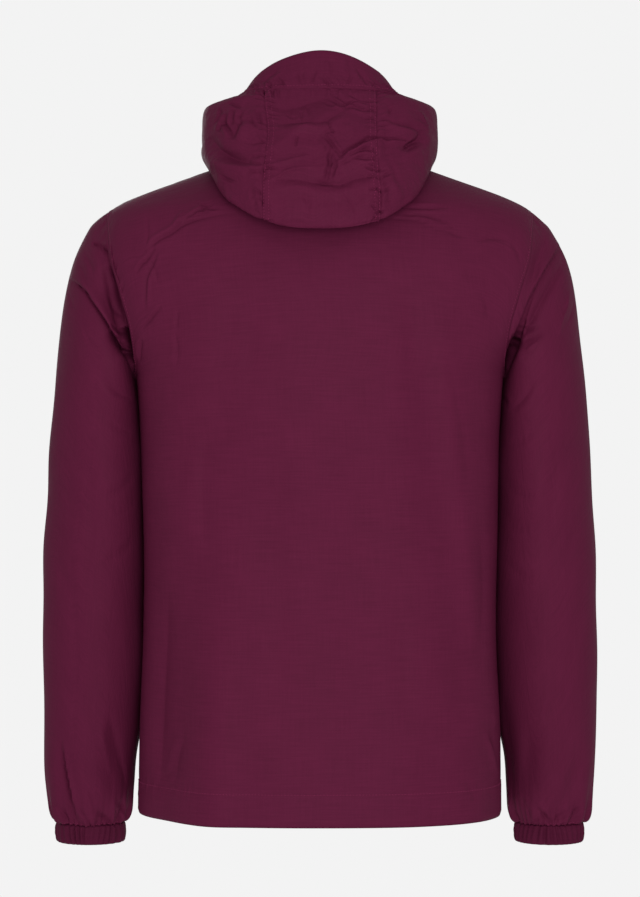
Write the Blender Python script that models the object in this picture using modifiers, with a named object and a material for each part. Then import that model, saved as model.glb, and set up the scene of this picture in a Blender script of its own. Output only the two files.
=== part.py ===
"""Zip hooded jacket of thin woven cloth, kept in the hollow form it takes when it is worn.

Units are metres. +Z is up, the zip faces -Y, and the wearer's left is +X. The origin is the middle
of the neck base, level with the points where the shoulder seams meet the neckline.

Every cloth piece is an open surface, worked out row by row from the tables below, with a Solidify
modifier that gives it its wall. Rows of a torso panel lie level. Rings of a sleeve turn from the
armhole to the wrist. The hood is one strip that runs from its brim, over the fold that hangs on the
back, to the neckline, cut into panels.
"""
import math
from collections import namedtuple

import bmesh
import bpy
import numpy as np

# ---------------------------------------------------------------- driving sizes
CLOTH = 0.0012          # wall of the cloth
CUFF_WALL = 0.0026      # elastic in its casing
TAPE = 0.0010           # zip tape
SEAM_GAP = 0.0003       # between two pieces at a seam

HEM = -0.691            # height of the hem
ARMPIT = -0.233         # height of the bottom of the armhole
TIP = -0.056            # height of the shoulder tip, the top of the armhole
ARMHOLE_BACK = math.radians(25)     # how far the armhole cuts into the back's rows
ARMHOLE_FRONT = math.radians(31)    # and into the front's, cut narrower across the chest

NECK_BACK_DROP = 0.010  # back neck below the neck points
FRONT_GAP = 0.009       # half the gap between the fronts, where the zip shows

SIDE_ROWS = 9           # rows of a torso panel from hem to armpit
ARMHOLE_ROWS = 10       # rows along the armhole
SHOULDER_ROWS = 5       # rows along the shoulder seam
QUARTER = 8             # columns of a quarter of the torso, and of the hood
SEAM_COLUMN = 0.03      # share of the turn that the column at a seam takes, so the walls meet squarely
NECK_FRONT_ROW = 2      # the front neckline ends this many rows below the shoulder tip

# One row for each level of the body, from the hem up. Half width is to the side seam, then to where
# the side would be if the armhole weren't cut, then to the shoulder seam. Squareness is the exponent
# of the superellipse.
Section = namedtuple("Section", "height half_width back front squareness")
TORSO = (
    Section(HEM, 0.1930, 0.148, 0.128, 2.4),
    Section(-0.620, 0.1920, 0.142, 0.124, 2.4),    # hip
    Section(-0.500, 0.1868, 0.131, 0.117, 2.5),
    Section(-0.400, 0.1855, 0.127, 0.113, 2.5),    # waist
    Section(-0.310, 0.1865, 0.132, 0.116, 2.5),
    Section(ARMPIT, 0.1930, 0.136, 0.119, 2.5),
    Section(-0.190, 0.2040, 0.136, 0.119, 2.5),
    Section(-0.148, 0.2190, 0.134, 0.117, 2.4),    # shoulder blades
    Section(-0.105, 0.2300, 0.127, 0.110, 2.2),
    Section(TIP, 0.2220, 0.109, 0.094, 1.9),
    Section(-0.045, 0.2025, 0.102, 0.089, 1.75),
    Section(-0.0145, 0.1177, 0.081, 0.076, 1.8),
    Section(0.000, 0.0800, 0.070, 0.070, 2.0),     # neck points
)

# Long soft folds of the torso: a trough from its upper to its lower end, in front view, negative
# depth for a ridge.
Fold = namedtuple("Fold", "x_top z_top x_low z_low width depth")
BACK_FOLDS = (
    Fold(-0.085, -0.13, -0.160, -0.58, 0.020, 0.006),
    Fold(-0.125, -0.18, -0.178, -0.62, 0.016, -0.003),
    Fold(0.082, -0.14, 0.150, -0.68, 0.024, 0.005),
    Fold(0.020, -0.12, 0.010, -0.60, 0.022, -0.003),
    Fold(-0.030, -0.30, -0.045, -0.70, 0.020, 0.003),
)
FRONT_FOLDS = (
    Fold(-0.090, -0.14, -0.140, -0.55, 0.022, 0.005),
    Fold(0.095, -0.16, 0.135, -0.60, 0.022, 0.005),
    Fold(-0.050, -0.34, -0.060, -0.70, 0.018, -0.003),
    Fold(0.055, -0.30, 0.070, -0.68, 0.018, -0.003),
)

# One row for each ring of the left sleeve after the armhole: its outer and inner points in front
# view, where its middle lies front to back, and its half depth.
Ring = namedtuple("Ring", "x_outer z_outer x_inner z_inner middle half_depth")
SLEEVE = (
    Ring(0.2472, -0.0790, 0.1962, -0.2460, 0.001, 0.072),
    Ring(0.2619, -0.1098, 0.1905, -0.2680, -0.004, 0.075),
    Ring(0.2718, -0.1545, 0.1878, -0.3000, -0.010, 0.075),
    Ring(0.2798, -0.2195, 0.1866, -0.3421, -0.015, 0.073),
    Ring(0.2858, -0.2899, 0.1860, -0.3855, -0.019, 0.071),   # elbow
    Ring(0.2916, -0.3604, 0.1855, -0.4359, -0.024, 0.068),
    Ring(0.2954, -0.4410, 0.1857, -0.4913, -0.028, 0.065),
    Ring(0.2962, -0.5213, 0.1872, -0.5465, -0.031, 0.063),
    Ring(0.2961, -0.5865, 0.1910, -0.5995, -0.034, 0.060),
    Ring(0.2951, -0.6314, 0.1965, -0.6364, -0.036, 0.057),
    Ring(0.2931, -0.6663, 0.1989, -0.6683, -0.038, 0.053),
    Ring(0.2895, -0.6913, 0.2025, -0.6923, -0.040, 0.047),  # blouses over the cuff
    Ring(0.2829, -0.7081, 0.2092, -0.7085, -0.041, 0.0395),
)
SLEEVE_FOLDS = (
    Fold(0.275, -0.125, 0.205, -0.215, 0.011, 0.006),    # from the outer arm down to the armpit
    Fold(0.262, -0.085, 0.228, -0.150, 0.012, 0.004),
    Fold(0.285, -0.300, 0.235, -0.345, 0.014, 0.004),    # inside the elbow
    Fold(0.274, -0.620, 0.262, -0.705, 0.010, 0.006),    # above the cuff
    Fold(0.222, -0.600, 0.212, -0.690, 0.010, 0.005),
)
FRONT_SHARE = 0.35      # how deep the sleeves' folds are on the front, against the back
CUFF_DEPTH = 0.020      # height of the cuff
CUFF_PLEATS = 16        # gathers of the cuff
CUFF_PLEAT = 0.0010     # how far they stand out and in

# One row for each line round the hood, from the brim's edge to the neck. Reach is from the middle of
# the neck to the back and to the front. Squareness is of the line's back half. The heights are at the
# back, between back and side, at the side, between side and front, and at the front.
Rail = namedtuple("Rail", "half_width back front squareness z_back z_quarter z_side z_cheek z_front")
HOOD = (
    Rail(0.0865, 0.092, 0.113, 2.0, 0.1020, 0.0840, 0.0330, 0.0180, 0.0100),    # brim edge
    Rail(0.0970, 0.103, 0.113, 2.4, 0.0615, 0.0610, 0.0410, -0.0040, -0.0280),  # brim seam
    Rail(0.1200, 0.114, 0.112, 2.5, 0.0380, 0.0490, 0.0505, -0.0080, -0.0340),  # top of the lobes
    Rail(0.1245, 0.133, 0.111, 2.7, 0.0060, 0.0180, 0.0270, -0.0150, -0.0400),  # crown
    Rail(0.1230, 0.150, 0.110, 2.7, -0.0450, -0.0240, 0.0000, -0.0220, -0.0460),
    Rail(0.1155, 0.150, 0.109, 3.0, -0.0850, -0.0570, -0.0085, -0.0280, -0.0520),  # fold
    Rail(0.1030, 0.131, 0.108, 2.7, -0.0700, -0.0400, 0.0010, -0.0320, -0.0580),  # under layer
    Rail(0.0930, 0.105, 0.106, 2.1, -0.0100, 0.0020, 0.0120, -0.0340, -0.0630),
    Rail(0.0870, 0.084, 0.103, 2.0, 0.0200, 0.0220, 0.0210, -0.0320, -0.0680),  # ridge
)
FRONT_SQUARENESS = 3.0  # of the front half of each of those lines
BRIM_ROWS = 3           # rows of the brim's surface
HOOD_ROWS = 15          # rows of the panels' surface below it
PANEL_SEAM = 0.058      # half the width of the hood's centre panel
PANEL_COLUMN = 4        # the column of the hood's grid on that seam
PANEL_BACK = 0.0004     # how far each panel is held back from that seam, where the walls lean together

# Zip. Distances outward are from the cloth's outer face at the middle of the front.
CHIN = HOOD[0].z_front  # top of the closed front
CHAIN = 0.0060          # width of the closed teeth
CHAIN_FACE, CHAIN_THICK = 0.0006, 0.0026
TAPE_INNER, TAPE_OUTER = 0.0034, 0.0175
NECK_TURNINGS = 0.0018  # what the neck seam holds the tape back by
BOX_LENGTH = 0.0090     # box at the foot of the zip
SLIDER = -0.002         # height of the slider's middle
SLIDER_WIDTH, SLIDER_LENGTH = 0.0090, 0.0120
FRONT_PLATE, BACK_PLATE = (0.0015, 0.0027), (-0.0052, -0.0040)
BRIDGE = 0.0014         # width of the slider's bridge
BRIDGE_TOP = 0.0061
PULL_AXIS = 0.0038      # how far out the pull tab's axis lies
PULL_WIDTH, PULL_LENGTH, PULL_THICK = 0.0080, 0.0300, 0.0013
PULL_BAR, PULL_EYE = 0.0012, 0.0062     # bar in the bridge, and how far its eye reaches below the axis

WINE = (0.115, 0.015, 0.042, 1.0)
WINE_DARK = (0.080, 0.010, 0.030, 1.0)
METAL = (0.050, 0.045, 0.048, 1.0)


# ---------------------------------------------------------------- curves
def through(knots, values, at, limit=False):
    """Read at `at` a smooth cubic that passes through the values at the knots.

    With `limit` it never passes beyond a value, so a table's largest number stays its largest.
    """
    knots, values, at = (np.asarray(each, float) for each in (knots, values, at))
    spread = (-1,) + (1,) * (values.ndim - 1)
    step = np.diff(knots).reshape(spread)
    slope = np.diff(values, axis=0) / step
    before, after = slope[:-1], slope[1:]
    tangent = np.concatenate((slope[:1], (before * step[1:] + after * step[:-1])
                              / (step[1:] + step[:-1]), slope[-1:]))
    if limit:
        both = np.where(before * after > 0, before + after, 1.0)
        tangent[1:-1] = np.where(before * after > 0, 2 * before * after / both, 0.0)
    k = np.clip(np.searchsorted(knots, at, side="right") - 1, 0, len(knots) - 2)
    length = step[k]
    t = (at - knots[k]).reshape(spread) / length
    return ((1 + 2 * t) * (1 - t) ** 2 * values[k] + t * (1 - t) ** 2 * length * tangent[k]
            + t * t * (3 - 2 * t) * values[k + 1] + t * t * (t - 1) * length * tangent[k + 1])


def power(value, exponent):
    """A power that keeps its sign, for superellipses."""
    return np.sign(value) * np.abs(value) ** exponent


def sunk(points, folds, face):
    """The points with the folds sunk into them, on the back (face +1) or the front (face -1)."""
    points = points.copy()
    for fold in folds:
        start = np.array((fold.x_top, fold.z_top))
        run = np.array((fold.x_low, fold.z_low)) - start
        reach = np.linalg.norm(run)
        offset = points[..., (0, 2)] - start
        along = offset @ run / reach ** 2
        across = (offset[..., 0] * run[1] - offset[..., 1] * run[0]) / reach
        ends = np.sin(np.pi * np.clip(along, 0, 1)) ** 0.7
        points[..., 1] -= face * fold.depth * ends * np.exp(-(across / fold.width) ** 2)
    return points


def shortened(grid, amount, first=False, last=False, axis=0):
    """The grid with its first or last row, or column where axis is 1, pulled back along the surface."""
    lines = np.moveaxis(grid, axis, 0).copy()
    for wanted, edge, inner in ((first, 0, 1), (last, -1, -2)):
        if wanted:
            run = lines[inner] - lines[edge]
            lines[edge] += run * amount / np.maximum(np.linalg.norm(run, axis=-1, keepdims=True), 1e-6)
    return np.moveaxis(lines, 0, axis)


def mirrored(grid):
    """The grid reflected to the other side of the body, its faces still pointing out."""
    return grid[:, ::-1] * (-1, 1, 1)


# ---------------------------------------------------------------- torso
def armhole_round(height):
    """How far round the armhole a level is: 0 at the armpit and the shoulder tip, 1 half way."""
    middle, half = (ARMPIT + TIP) / 2, (TIP - ARMPIT) / 2
    return np.sqrt(np.clip(1 - ((height - middle) / half) ** 2, 0, 1))


def panel_levels():
    """Levels of a torso panel's rows: even up the side, bunched at the armhole's ends, then even."""
    side = np.linspace(HEM, ARMPIT, SIDE_ROWS + 1)
    turn = np.linspace(0, math.pi, ARMHOLE_ROWS + 1)
    armhole = (ARMPIT + TIP) / 2 - (TIP - ARMPIT) / 2 * np.cos(turn)
    shoulder = np.linspace(TIP, 0, SHOULDER_ROWS + 1)
    return np.concatenate((side[:-1], armhole[:-1], shoulder))


def section_at(level):
    """Each column of TORSO read at the levels."""
    heights = [section.height for section in TORSO]
    return {name: through(heights, [getattr(section, name) for section in TORSO], level, limit=True)
            for name in Section._fields[1:]}


def torso_points(level, turn, face):
    """Points of the body at levels and turns from the middle, on its back or its front.

    A level row is a superellipse arc. The back's last rows dip to the back of the neck.
    """
    level, turn = np.broadcast_arrays(level, turn)
    shape = {name: value.reshape(level.shape) for name, value in section_at(level.ravel()).items()}
    depth = shape["back"] if face > 0 else shape["front"]
    bend = 2 / shape["squareness"]
    dip = NECK_BACK_DROP * np.clip(1 - level / TIP, 0, 1) ** 2 * np.cos(turn) ** 2 if face > 0 else 0
    return np.stack((shape["half_width"] * power(np.sin(turn), bend),
                     face * depth * power(np.cos(turn), bend), level - dip), axis=-1)


def columns_across():
    """Shares of a panel's turn for its columns: even, then a narrow one at the seam."""
    return np.append(np.linspace(0, 1 - SEAM_COLUMN, QUARTER), 1)


def edge_turn(level, face):
    """The turn at which a panel ends: at the side and the shoulder seam, or earlier at the armhole."""
    return math.pi / 2 - (ARMHOLE_BACK if face > 0 else ARMHOLE_FRONT) * armhole_round(level)


def back_panel():
    level = panel_levels()[:, None]
    across = columns_across()
    turn = edge_turn(level, 1) * np.concatenate((across[:0:-1], -across))
    grid = sunk(torso_points(level, turn, 1), BACK_FOLDS, 1)
    grid[..., 1] += SEAM_GAP / 2
    return grid


def front_start(level):
    """Turn at which the left front starts at each level: at the zip, then at the neckline."""
    neck_half = TORSO[-1].half_width
    bottom = panel_levels()[-1 - SHOULDER_ROWS - NECK_FRONT_ROW]
    neck = neck_half * np.sqrt(np.clip(1 - (level / bottom) ** 2, 0, 1))
    start = np.where(level < bottom + 1e-6, FRONT_GAP, np.maximum(neck, FRONT_GAP))
    section = section_at(level)
    return np.arcsin(np.clip(start / section["half_width"], 0, 1) ** (section["squareness"] / 2))


def front_panel(side):
    """The front on the wearer's left (side +1) or right (side -1)."""
    level = panel_levels()
    start = front_start(level)[:, None]
    level = level[:, None]
    turn = start + (edge_turn(level, -1) - start) * columns_across()
    grid = torso_points(level, turn, -1)
    grid[..., 1] -= SEAM_GAP / 2
    if side < 0:
        grid = mirrored(grid)
    return sunk(grid, FRONT_FOLDS, -1)


def neckline():
    """The left half of the neckline, from the back of the neck to the zip, a point for each column."""
    level = panel_levels()
    back = torso_points(level[-1], math.pi / 2 * columns_across(), 1)
    front = front_panel(1)[::-1, 0]
    return np.concatenate((back, front[1:SHOULDER_ROWS + NECK_FRONT_ROW + 1]))


# ---------------------------------------------------------------- sleeves and cuffs
def armhole_ring():
    """Points round the left armhole: down its back edge to the armpit and up its front edge."""
    turn = np.linspace(0, 2 * math.pi, 2 * ARMHOLE_ROWS + 1)[:-1]
    level = (ARMPIT + TIP) / 2 + (TIP - ARMPIT) / 2 * np.cos(turn)
    behind = (np.sin(turn) >= -1e-9)[:, None]
    return np.where(behind, torso_points(level, edge_turn(level, 1), 1),
                    torso_points(level, edge_turn(level, -1), -1))


def sleeve_ring(ring, turn):
    """An ellipse from the ring's outer point, round the back to its inner point and round the front."""
    outer, inner = np.array((ring.x_outer, ring.z_outer)), np.array((ring.x_inner, ring.z_inner))
    middle, half = (outer + inner) / 2, (outer - inner) / 2
    x, z = (middle[k] + half[k] * np.cos(turn) for k in (0, 1))
    return np.stack((x, ring.middle + ring.half_depth * np.sin(turn), z), axis=-1)


def sleeve_surface(side):
    turn = np.linspace(0, 2 * math.pi, 2 * ARMHOLE_ROWS + 1)[:-1]
    grid = np.array([armhole_ring()] + [sleeve_ring(ring, turn) for ring in SLEEVE])
    for face, share in ((1, 1.0), (-1, FRONT_SHARE)):
        on_face = share * np.clip(face * np.sin(turn), 0, 1)[:, None]
        grid = grid + on_face * (sunk(grid, SLEEVE_FOLDS, face) - grid)
    grid = shortened(grid, SEAM_GAP, first=True)
    return mirrored(grid)[:, ::-1] if side < 0 else grid[:, ::-1]


def cuff_surface(side):
    """A straight band below the sleeve, with a pleat out and in for each gather."""
    last = SLEEVE[-1]
    turn = np.linspace(0, 2 * math.pi, 2 * CUFF_PLEATS + 1)[:-1]
    pleat = CUFF_PLEAT * np.where(np.arange(2 * CUFF_PLEATS) % 2, 1, -1)
    middle = (last.x_outer + last.x_inner) / 2
    half = (last.x_outer - last.x_inner) / 2
    top = last.z_inner - SEAM_GAP * 2
    rows = []
    for down in (0, 0.5, 1):
        swell = pleat * (0.4 + 0.6 * math.sin(math.pi * down))
        rows.append(np.stack((middle + (half + swell) * np.cos(turn),
                              last.middle + (last.half_depth + swell) * np.sin(turn),
                              np.full_like(turn, top - CUFF_DEPTH * down)), axis=-1))
    grid = np.array(rows)
    return mirrored(grid)[:, ::-1] if side < 0 else grid[:, ::-1]


# ---------------------------------------------------------------- hood
def rail_columns(rail):
    """The left half of a line round the hood, a point for each column from the back to the zip."""
    back, front = 2 / rail.squareness, 2 / FRONT_SQUARENESS
    seam = math.asin((PANEL_SEAM / rail.half_width) ** (1 / back))
    end = math.pi - math.asin((FRONT_GAP / rail.half_width) ** (1 / front))
    turn = np.concatenate((np.linspace(0, seam, PANEL_COLUMN + 1)[:-1],
                           np.linspace(seam, math.pi / 2, QUARTER - PANEL_COLUMN + 1)[:-1],
                           np.linspace(math.pi / 2, end, SHOULDER_ROWS + NECK_FRONT_ROW + 1)))
    heights = (rail.z_back, rail.z_quarter, rail.z_side, rail.z_cheek, rail.z_front)
    around = heights[1:2] + heights + heights[-2:-1]
    z = through(np.arange(-1, 6) * math.pi / 4, around, turn, limit=True)
    behind = np.cos(turn) > 0
    reach, bend = np.where(behind, rail.back, rail.front), np.where(behind, back, front)
    return np.stack((rail.half_width * power(np.sin(turn), bend), reach * power(np.cos(turn), bend), z),
                    axis=-1)


def hood_surface():
    """The left half of the hood's strip, rows from the brim's edge to the neckline."""
    lines = [rail_columns(rail) for rail in HOOD] + [neckline() + (0, 0, SEAM_GAP)]
    at = np.concatenate((np.linspace(0, 1, BRIM_ROWS + 1)[:-1], np.linspace(1, len(HOOD), HOOD_ROWS + 1)))
    return through(np.arange(len(lines)), np.array(lines), at)


def hood_panels():
    """The hood's four pieces, each with its columns from the wearer's right to the left."""
    half = hood_surface()
    whole = np.concatenate((mirrored(half)[:, :-1], half), axis=1)
    middle = half.shape[1] - 1
    seams = middle - PANEL_COLUMN, middle + PANEL_COLUMN
    brim, body = whole[:BRIM_ROWS + 1], whole[BRIM_ROWS:]
    brim = shortened(brim, SEAM_GAP, last=True)
    body = shortened(body, SEAM_GAP, first=True)
    right, centre, left = body[:, :seams[0] + 1], body[:, seams[0]:seams[1] + 1], body[:, seams[1]:]
    return {"hood_brim": brim,
            "hood_centre": shortened(centre, PANEL_BACK, first=True, last=True, axis=1),
            "hood_side_left": shortened(left, PANEL_BACK, first=True, axis=1),
            "hood_side_right": shortened(right, PANEL_BACK, last=True, axis=1)}


# ---------------------------------------------------------------- zip
def front_line(distance):
    """Points up the closed left front and the hood's edge, at a distance from the middle."""
    rows = [*front_panel(1)[:-SHOULDER_ROWS - NECK_FRONT_ROW, :SHOULDER_ROWS],
            *hood_surface()[-2::-1, :-1 - SHOULDER_ROWS:-1]]
    return np.array([(distance, *(np.interp(distance, row[:, 0], row[:, k]) for k in (1, 2))) for row in rows])


def zip_strip(low, high, distances, outward, behind_seam=0.0):
    """A strip between two heights with a column at each distance from the middle, raised from the cloth.

    It dips by `behind_seam` where the neck seam's turnings lie on it.
    """
    edge = front_line(0)
    height = edge[:, 2]
    normal = np.cross((1, 0, 0), np.gradient(edge, height, axis=0))
    normal /= np.linalg.norm(normal, axis=1, keepdims=True)
    neck = edge[:, 2:] - neckline()[-1, 2]
    rise = normal * (outward - behind_seam * np.exp(-(neck / 0.008) ** 2))
    inside = height[(height > low + SEAM_GAP) & (height < high - SEAM_GAP)]
    at = np.concatenate(([low], inside, [high]))
    columns = []
    for distance in distances:
        line = front_line(distance) + rise
        columns.append(np.stack([np.interp(at, height, value) for value in line.T], axis=-1))
    return np.stack(columns, axis=1)


def zip_face(height):
    """The y of the cloth's outer face at the zip, at a height."""
    edge = front_line(0)
    return float(np.interp(height, edge[:, 2], edge[:, 1]))


# ---------------------------------------------------------------- making the objects
def paint(obj, colour, roughness=0.6, metallic=0.0):
    material = bpy.data.materials.new(obj.name)
    material.use_nodes = True
    shader = material.node_tree.nodes["Principled BSDF"]
    shader.inputs["Base Color"].default_value = colour
    shader.inputs["Roughness"].default_value = roughness
    shader.inputs["Metallic"].default_value = metallic
    obj.data.materials.append(material)


def place(name, data, collection):
    obj = bpy.data.objects.new(name, data)
    collection.objects.link(obj)
    return obj


def wall(name, grid, collection, colour=WINE, thickness=CLOTH, closed=False):
    """A surface through the grid's points, with a wall that grows to its inner side."""
    rows, columns = grid.shape[:2]
    index = np.arange(rows * columns).reshape(rows, columns)
    here, beside = (index, np.roll(index, -1, axis=1)) if closed else (index[:, :-1], index[:, 1:])
    faces = np.stack((here[:-1], beside[:-1], beside[1:], here[1:]), axis=-1).reshape(-1, 4)
    mesh = bpy.data.meshes.new(name)
    mesh.from_pydata(grid.reshape(-1, 3).tolist(), [], faces.tolist())
    shape = bmesh.new()
    shape.from_mesh(mesh)
    bmesh.ops.remove_doubles(shape, verts=shape.verts, dist=1e-5)
    shape.to_mesh(mesh)
    shape.free()
    mesh.shade_smooth()
    obj = place(name, mesh, collection)
    solidify = obj.modifiers.new("wall", "SOLIDIFY")
    solidify.thickness = thickness
    solidify.offset = -1
    paint(obj, colour)
    return obj


def block(name, low, high, collection):
    """A box between two corners, its origin at its middle."""
    mesh = bpy.data.meshes.new(name)
    shape = bmesh.new()
    bmesh.ops.create_cube(shape, size=1)
    bmesh.ops.scale(shape, vec=np.subtract(high, low), verts=shape.verts)
    shape.to_mesh(mesh)
    shape.free()
    obj = place(name, mesh, collection)
    obj.location = np.add(low, high) / 2
    return obj


def on_zip(name, half_x, heights, outward, collection):
    """A block on the zip's middle line, between two heights and two distances out from the cloth."""
    face = zip_face(sum(heights) / 2)
    return block(name, (-half_x, face - outward[1], heights[0]), (half_x, face - outward[0], heights[1]),
                 collection)


def make_slider(parts, cutters):
    """Two plates joined by a post, and the bridge that the pull tab hangs from."""
    length = SLIDER_LENGTH / 2
    slider = on_zip("zip_slider", SLIDER_WIDTH / 2, (SLIDER - length, SLIDER + length), FRONT_PLATE, parts)
    leg = length - 0.0011
    pieces = {
        "back_plate": (SLIDER_WIDTH / 2 - 0.0003, (-length, length), BACK_PLATE),
        "post": (0.0011, (-0.0005, 0.0050), (BACK_PLATE[1] - 0.0002, FRONT_PLATE[0] + 0.0002)),
        "upper_leg": (BRIDGE / 2, (leg - BRIDGE, leg), (FRONT_PLATE[1] - 0.0002, BRIDGE_TOP)),
        "lower_leg": (BRIDGE / 2, (-leg, BRIDGE - leg), (FRONT_PLATE[1] - 0.0002, BRIDGE_TOP)),
        "bridge": (BRIDGE / 2 - 0.00002, (-leg + 0.0001, leg - 0.0001), (BRIDGE_TOP - 0.0012, BRIDGE_TOP - 0.00002)),
    }
    for name, (half_x, heights, outward) in pieces.items():
        piece = on_zip(name, half_x, [SLIDER + height for height in heights], outward, cutters)
        piece.location.y += zip_face(SLIDER) - zip_face(SLIDER + sum(heights) / 2)
        piece.hide_render = True
        piece.display_type = "WIRE"
        union = slider.modifiers.new(name, "BOOLEAN")
        union.operation = "UNION"
        union.object = piece
    paint(slider, METAL, roughness=0.35, metallic=0.9)


def make_pull(parts):
    """A flat tab with an eye round the slider's bridge, its origin on the axis that it swings about."""
    outline = bpy.data.curves.new("zip_pull", "CURVE")
    outline.dimensions = "2D"
    outline.fill_mode = "BOTH"
    outline.extrude = PULL_THICK / 2
    half, bar, corner = PULL_WIDTH / 2, PULL_BAR / 2, 0.0012
    shoulder, foot = PULL_EYE + 0.0030, -PULL_LENGTH
    loops = (
        ((half - 0.0008, bar), (half - 0.0008, -shoulder), (half, -shoulder - 0.004), (half, foot + corner),
         (half - corner, foot), (corner - half, foot), (-half, foot + corner), (-half, -shoulder - 0.004),
         (0.0008 - half, -shoulder), (0.0008 - half, bar)),
        ((0.0013, -bar), (-0.0013, -bar), (-0.0013, -PULL_EYE), (0.0013, -PULL_EYE)),
    )
    for points in loops:
        spline = outline.splines.new("POLY")
        spline.points.add(len(points) - 1)
        spline.points.foreach_set("co", [value for x, y in points for value in (x, y, 0, 1)])
        spline.use_cyclic_u = True
    pull = place("zip_pull", outline, parts)
    pull.rotation_euler.x = math.pi / 2
    pull.location = (0, zip_face(SLIDER) - PULL_AXIS, SLIDER)
    paint(pull, METAL, roughness=0.35, metallic=0.9)


def make_zip(parts, cutters):
    tape_face = -CLOTH - 2 * SEAM_GAP
    tape = zip_strip(HEM + 0.001, CHIN - 0.001, (TAPE_INNER, TAPE_OUTER), tape_face, NECK_TURNINGS)
    wall("zip_tape_left", tape, parts, WINE_DARK, TAPE)
    wall("zip_tape_right", mirrored(tape), parts, WINE_DARK, TAPE)
    chain = zip_strip(HEM + BOX_LENGTH + SEAM_GAP, SLIDER - 0.0010, (-CHAIN / 2, CHAIN / 2), CHAIN_FACE)
    wall("zip_chain", chain, parts, METAL, CHAIN_THICK)
    box = on_zip("zip_box", CHAIN / 2 + 0.0001, (HEM + SEAM_GAP, HEM + BOX_LENGTH), (-0.0030, 0.0014), parts)
    paint(box, METAL, roughness=0.4, metallic=0.9)
    for name, side in (("zip_stop_left", 1), ("zip_stop_right", -1)):
        stop = on_zip(name, 0.0010, (CHIN - 0.0050, CHIN - 0.0022), (-0.0015, 0.0004), parts)
        stop.location.x = side * (TAPE_INNER + 0.0014)
        paint(stop, METAL, roughness=0.4, metallic=0.9)
    make_slider(parts, cutters)
    make_pull(parts)


def main():
    for obj in list(bpy.data.objects):
        bpy.data.objects.remove(obj, do_unlink=True)
    parts = bpy.data.collections.new("zip_hooded_jacket")
    cutters = bpy.data.collections.new("slider_pieces")
    for collection in (parts, cutters):
        bpy.context.scene.collection.children.link(collection)
    wall("back", back_panel(), parts)
    for side, name in ((1, "left"), (-1, "right")):
        wall("front_" + name, front_panel(side), parts)
        wall("sleeve_" + name, sleeve_surface(side), parts, closed=True)
        wall("cuff_" + name, cuff_surface(side), parts, WINE_DARK, CUFF_WALL, closed=True)
    for name, grid in hood_panels().items():
        wall(name, grid, parts)
    make_zip(parts, cutters)


main()
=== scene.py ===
# Zip hooded jacket of thin burgundy nylon: its cloth, seams, stitches, zip, floor and light.
import math

import bmesh
import bpy
import numpy as np
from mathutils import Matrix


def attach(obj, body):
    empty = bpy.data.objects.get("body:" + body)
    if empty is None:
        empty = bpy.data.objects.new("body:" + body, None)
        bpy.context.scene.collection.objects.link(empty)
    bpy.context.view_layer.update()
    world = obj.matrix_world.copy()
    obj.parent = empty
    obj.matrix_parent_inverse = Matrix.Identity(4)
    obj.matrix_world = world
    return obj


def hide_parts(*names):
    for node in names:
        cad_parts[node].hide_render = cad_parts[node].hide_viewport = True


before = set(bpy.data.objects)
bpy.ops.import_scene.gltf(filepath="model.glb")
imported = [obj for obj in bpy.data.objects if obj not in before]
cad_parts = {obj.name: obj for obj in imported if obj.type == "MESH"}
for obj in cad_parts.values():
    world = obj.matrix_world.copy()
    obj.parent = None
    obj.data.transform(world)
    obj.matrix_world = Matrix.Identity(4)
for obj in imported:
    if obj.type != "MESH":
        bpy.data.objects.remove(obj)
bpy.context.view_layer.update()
mm = 0.001


# curves and surfaces

def smoothRead(knots, values, at, limit=False):
    # a cubic from knot to knot, its slope at a knot drawn from the slopes on both sides, the nearer one
    # counting more; with limit it stays between neighbouring values
    knots, values, at = (np.asarray(each, float) for each in (knots, values, at))
    spread = (-1,) + (1,) * (values.ndim - 1)
    step = np.diff(knots).reshape(spread)
    slope = np.diff(values, axis=0) / step
    before, after = slope[:-1], slope[1:]
    inner = (before * step[1:] + after * step[:-1]) / (step[1:] + step[:-1])
    if limit:
        both = np.where(before * after > 0, before + after, 1.0)
        inner = np.where(before * after > 0, 2 * before * after / both, 0.0)
    tangent = np.concatenate((slope[:1], inner, slope[-1:]))
    k = np.clip(np.searchsorted(knots, at, side="right") - 1, 0, len(knots) - 2)
    length = step[k]
    t = (at - knots[k]).reshape(spread) / length
    return ((1 + 2 * t) * (1 - t) ** 2 * values[k] + t * (1 - t) ** 2 * length * tangent[k]
            + t * t * (3 - 2 * t) * values[k + 1] + t * t * (t - 1) * length * tangent[k + 1])


def signedPower(value, exponent):
    # the power of a value's size, with the value's sign
    return np.sign(value) * np.abs(value) ** exponent


def steps(*knots):
    # numbers from knot to knot: value, then how many steps to the next value
    parts = [np.linspace(knots[k], knots[k + 2], knots[k + 1] + 1)[:-1] for k in range(0, len(knots) - 2, 2)]
    return np.concatenate((*parts, knots[-1:]))


def unit(vectors):
    return vectors / np.maximum(np.linalg.norm(vectors, axis=-1, keepdims=True), 1e-12)


def ease(value, low, high):
    # 0 below low, 1 above high, and a smooth step between them
    t = np.clip((value - low) / (high - low), 0, 1)
    return t * t * (3 - 2 * t)


def normalsOf(grid, closed=False):
    # cross product of the steps to the next column and to the next row
    across = np.roll(grid, -1, 1) - np.roll(grid, 1, 1) if closed else np.gradient(grid, axis=1)
    return unit(np.cross(across, np.gradient(grid, axis=0)))


def raised(grid, normals, height):
    # every point moved that far along its normal
    return grid + normals * height[..., None]


def arcs(grid, axis):
    # distance run along each row or column from its first point
    gaps = np.linalg.norm(np.diff(grid, axis=axis), axis=-1)
    zero = np.zeros_like(np.take(gaps, [0], axis=axis))
    return np.concatenate((zero, np.cumsum(gaps, axis=axis)), axis=axis)


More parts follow.
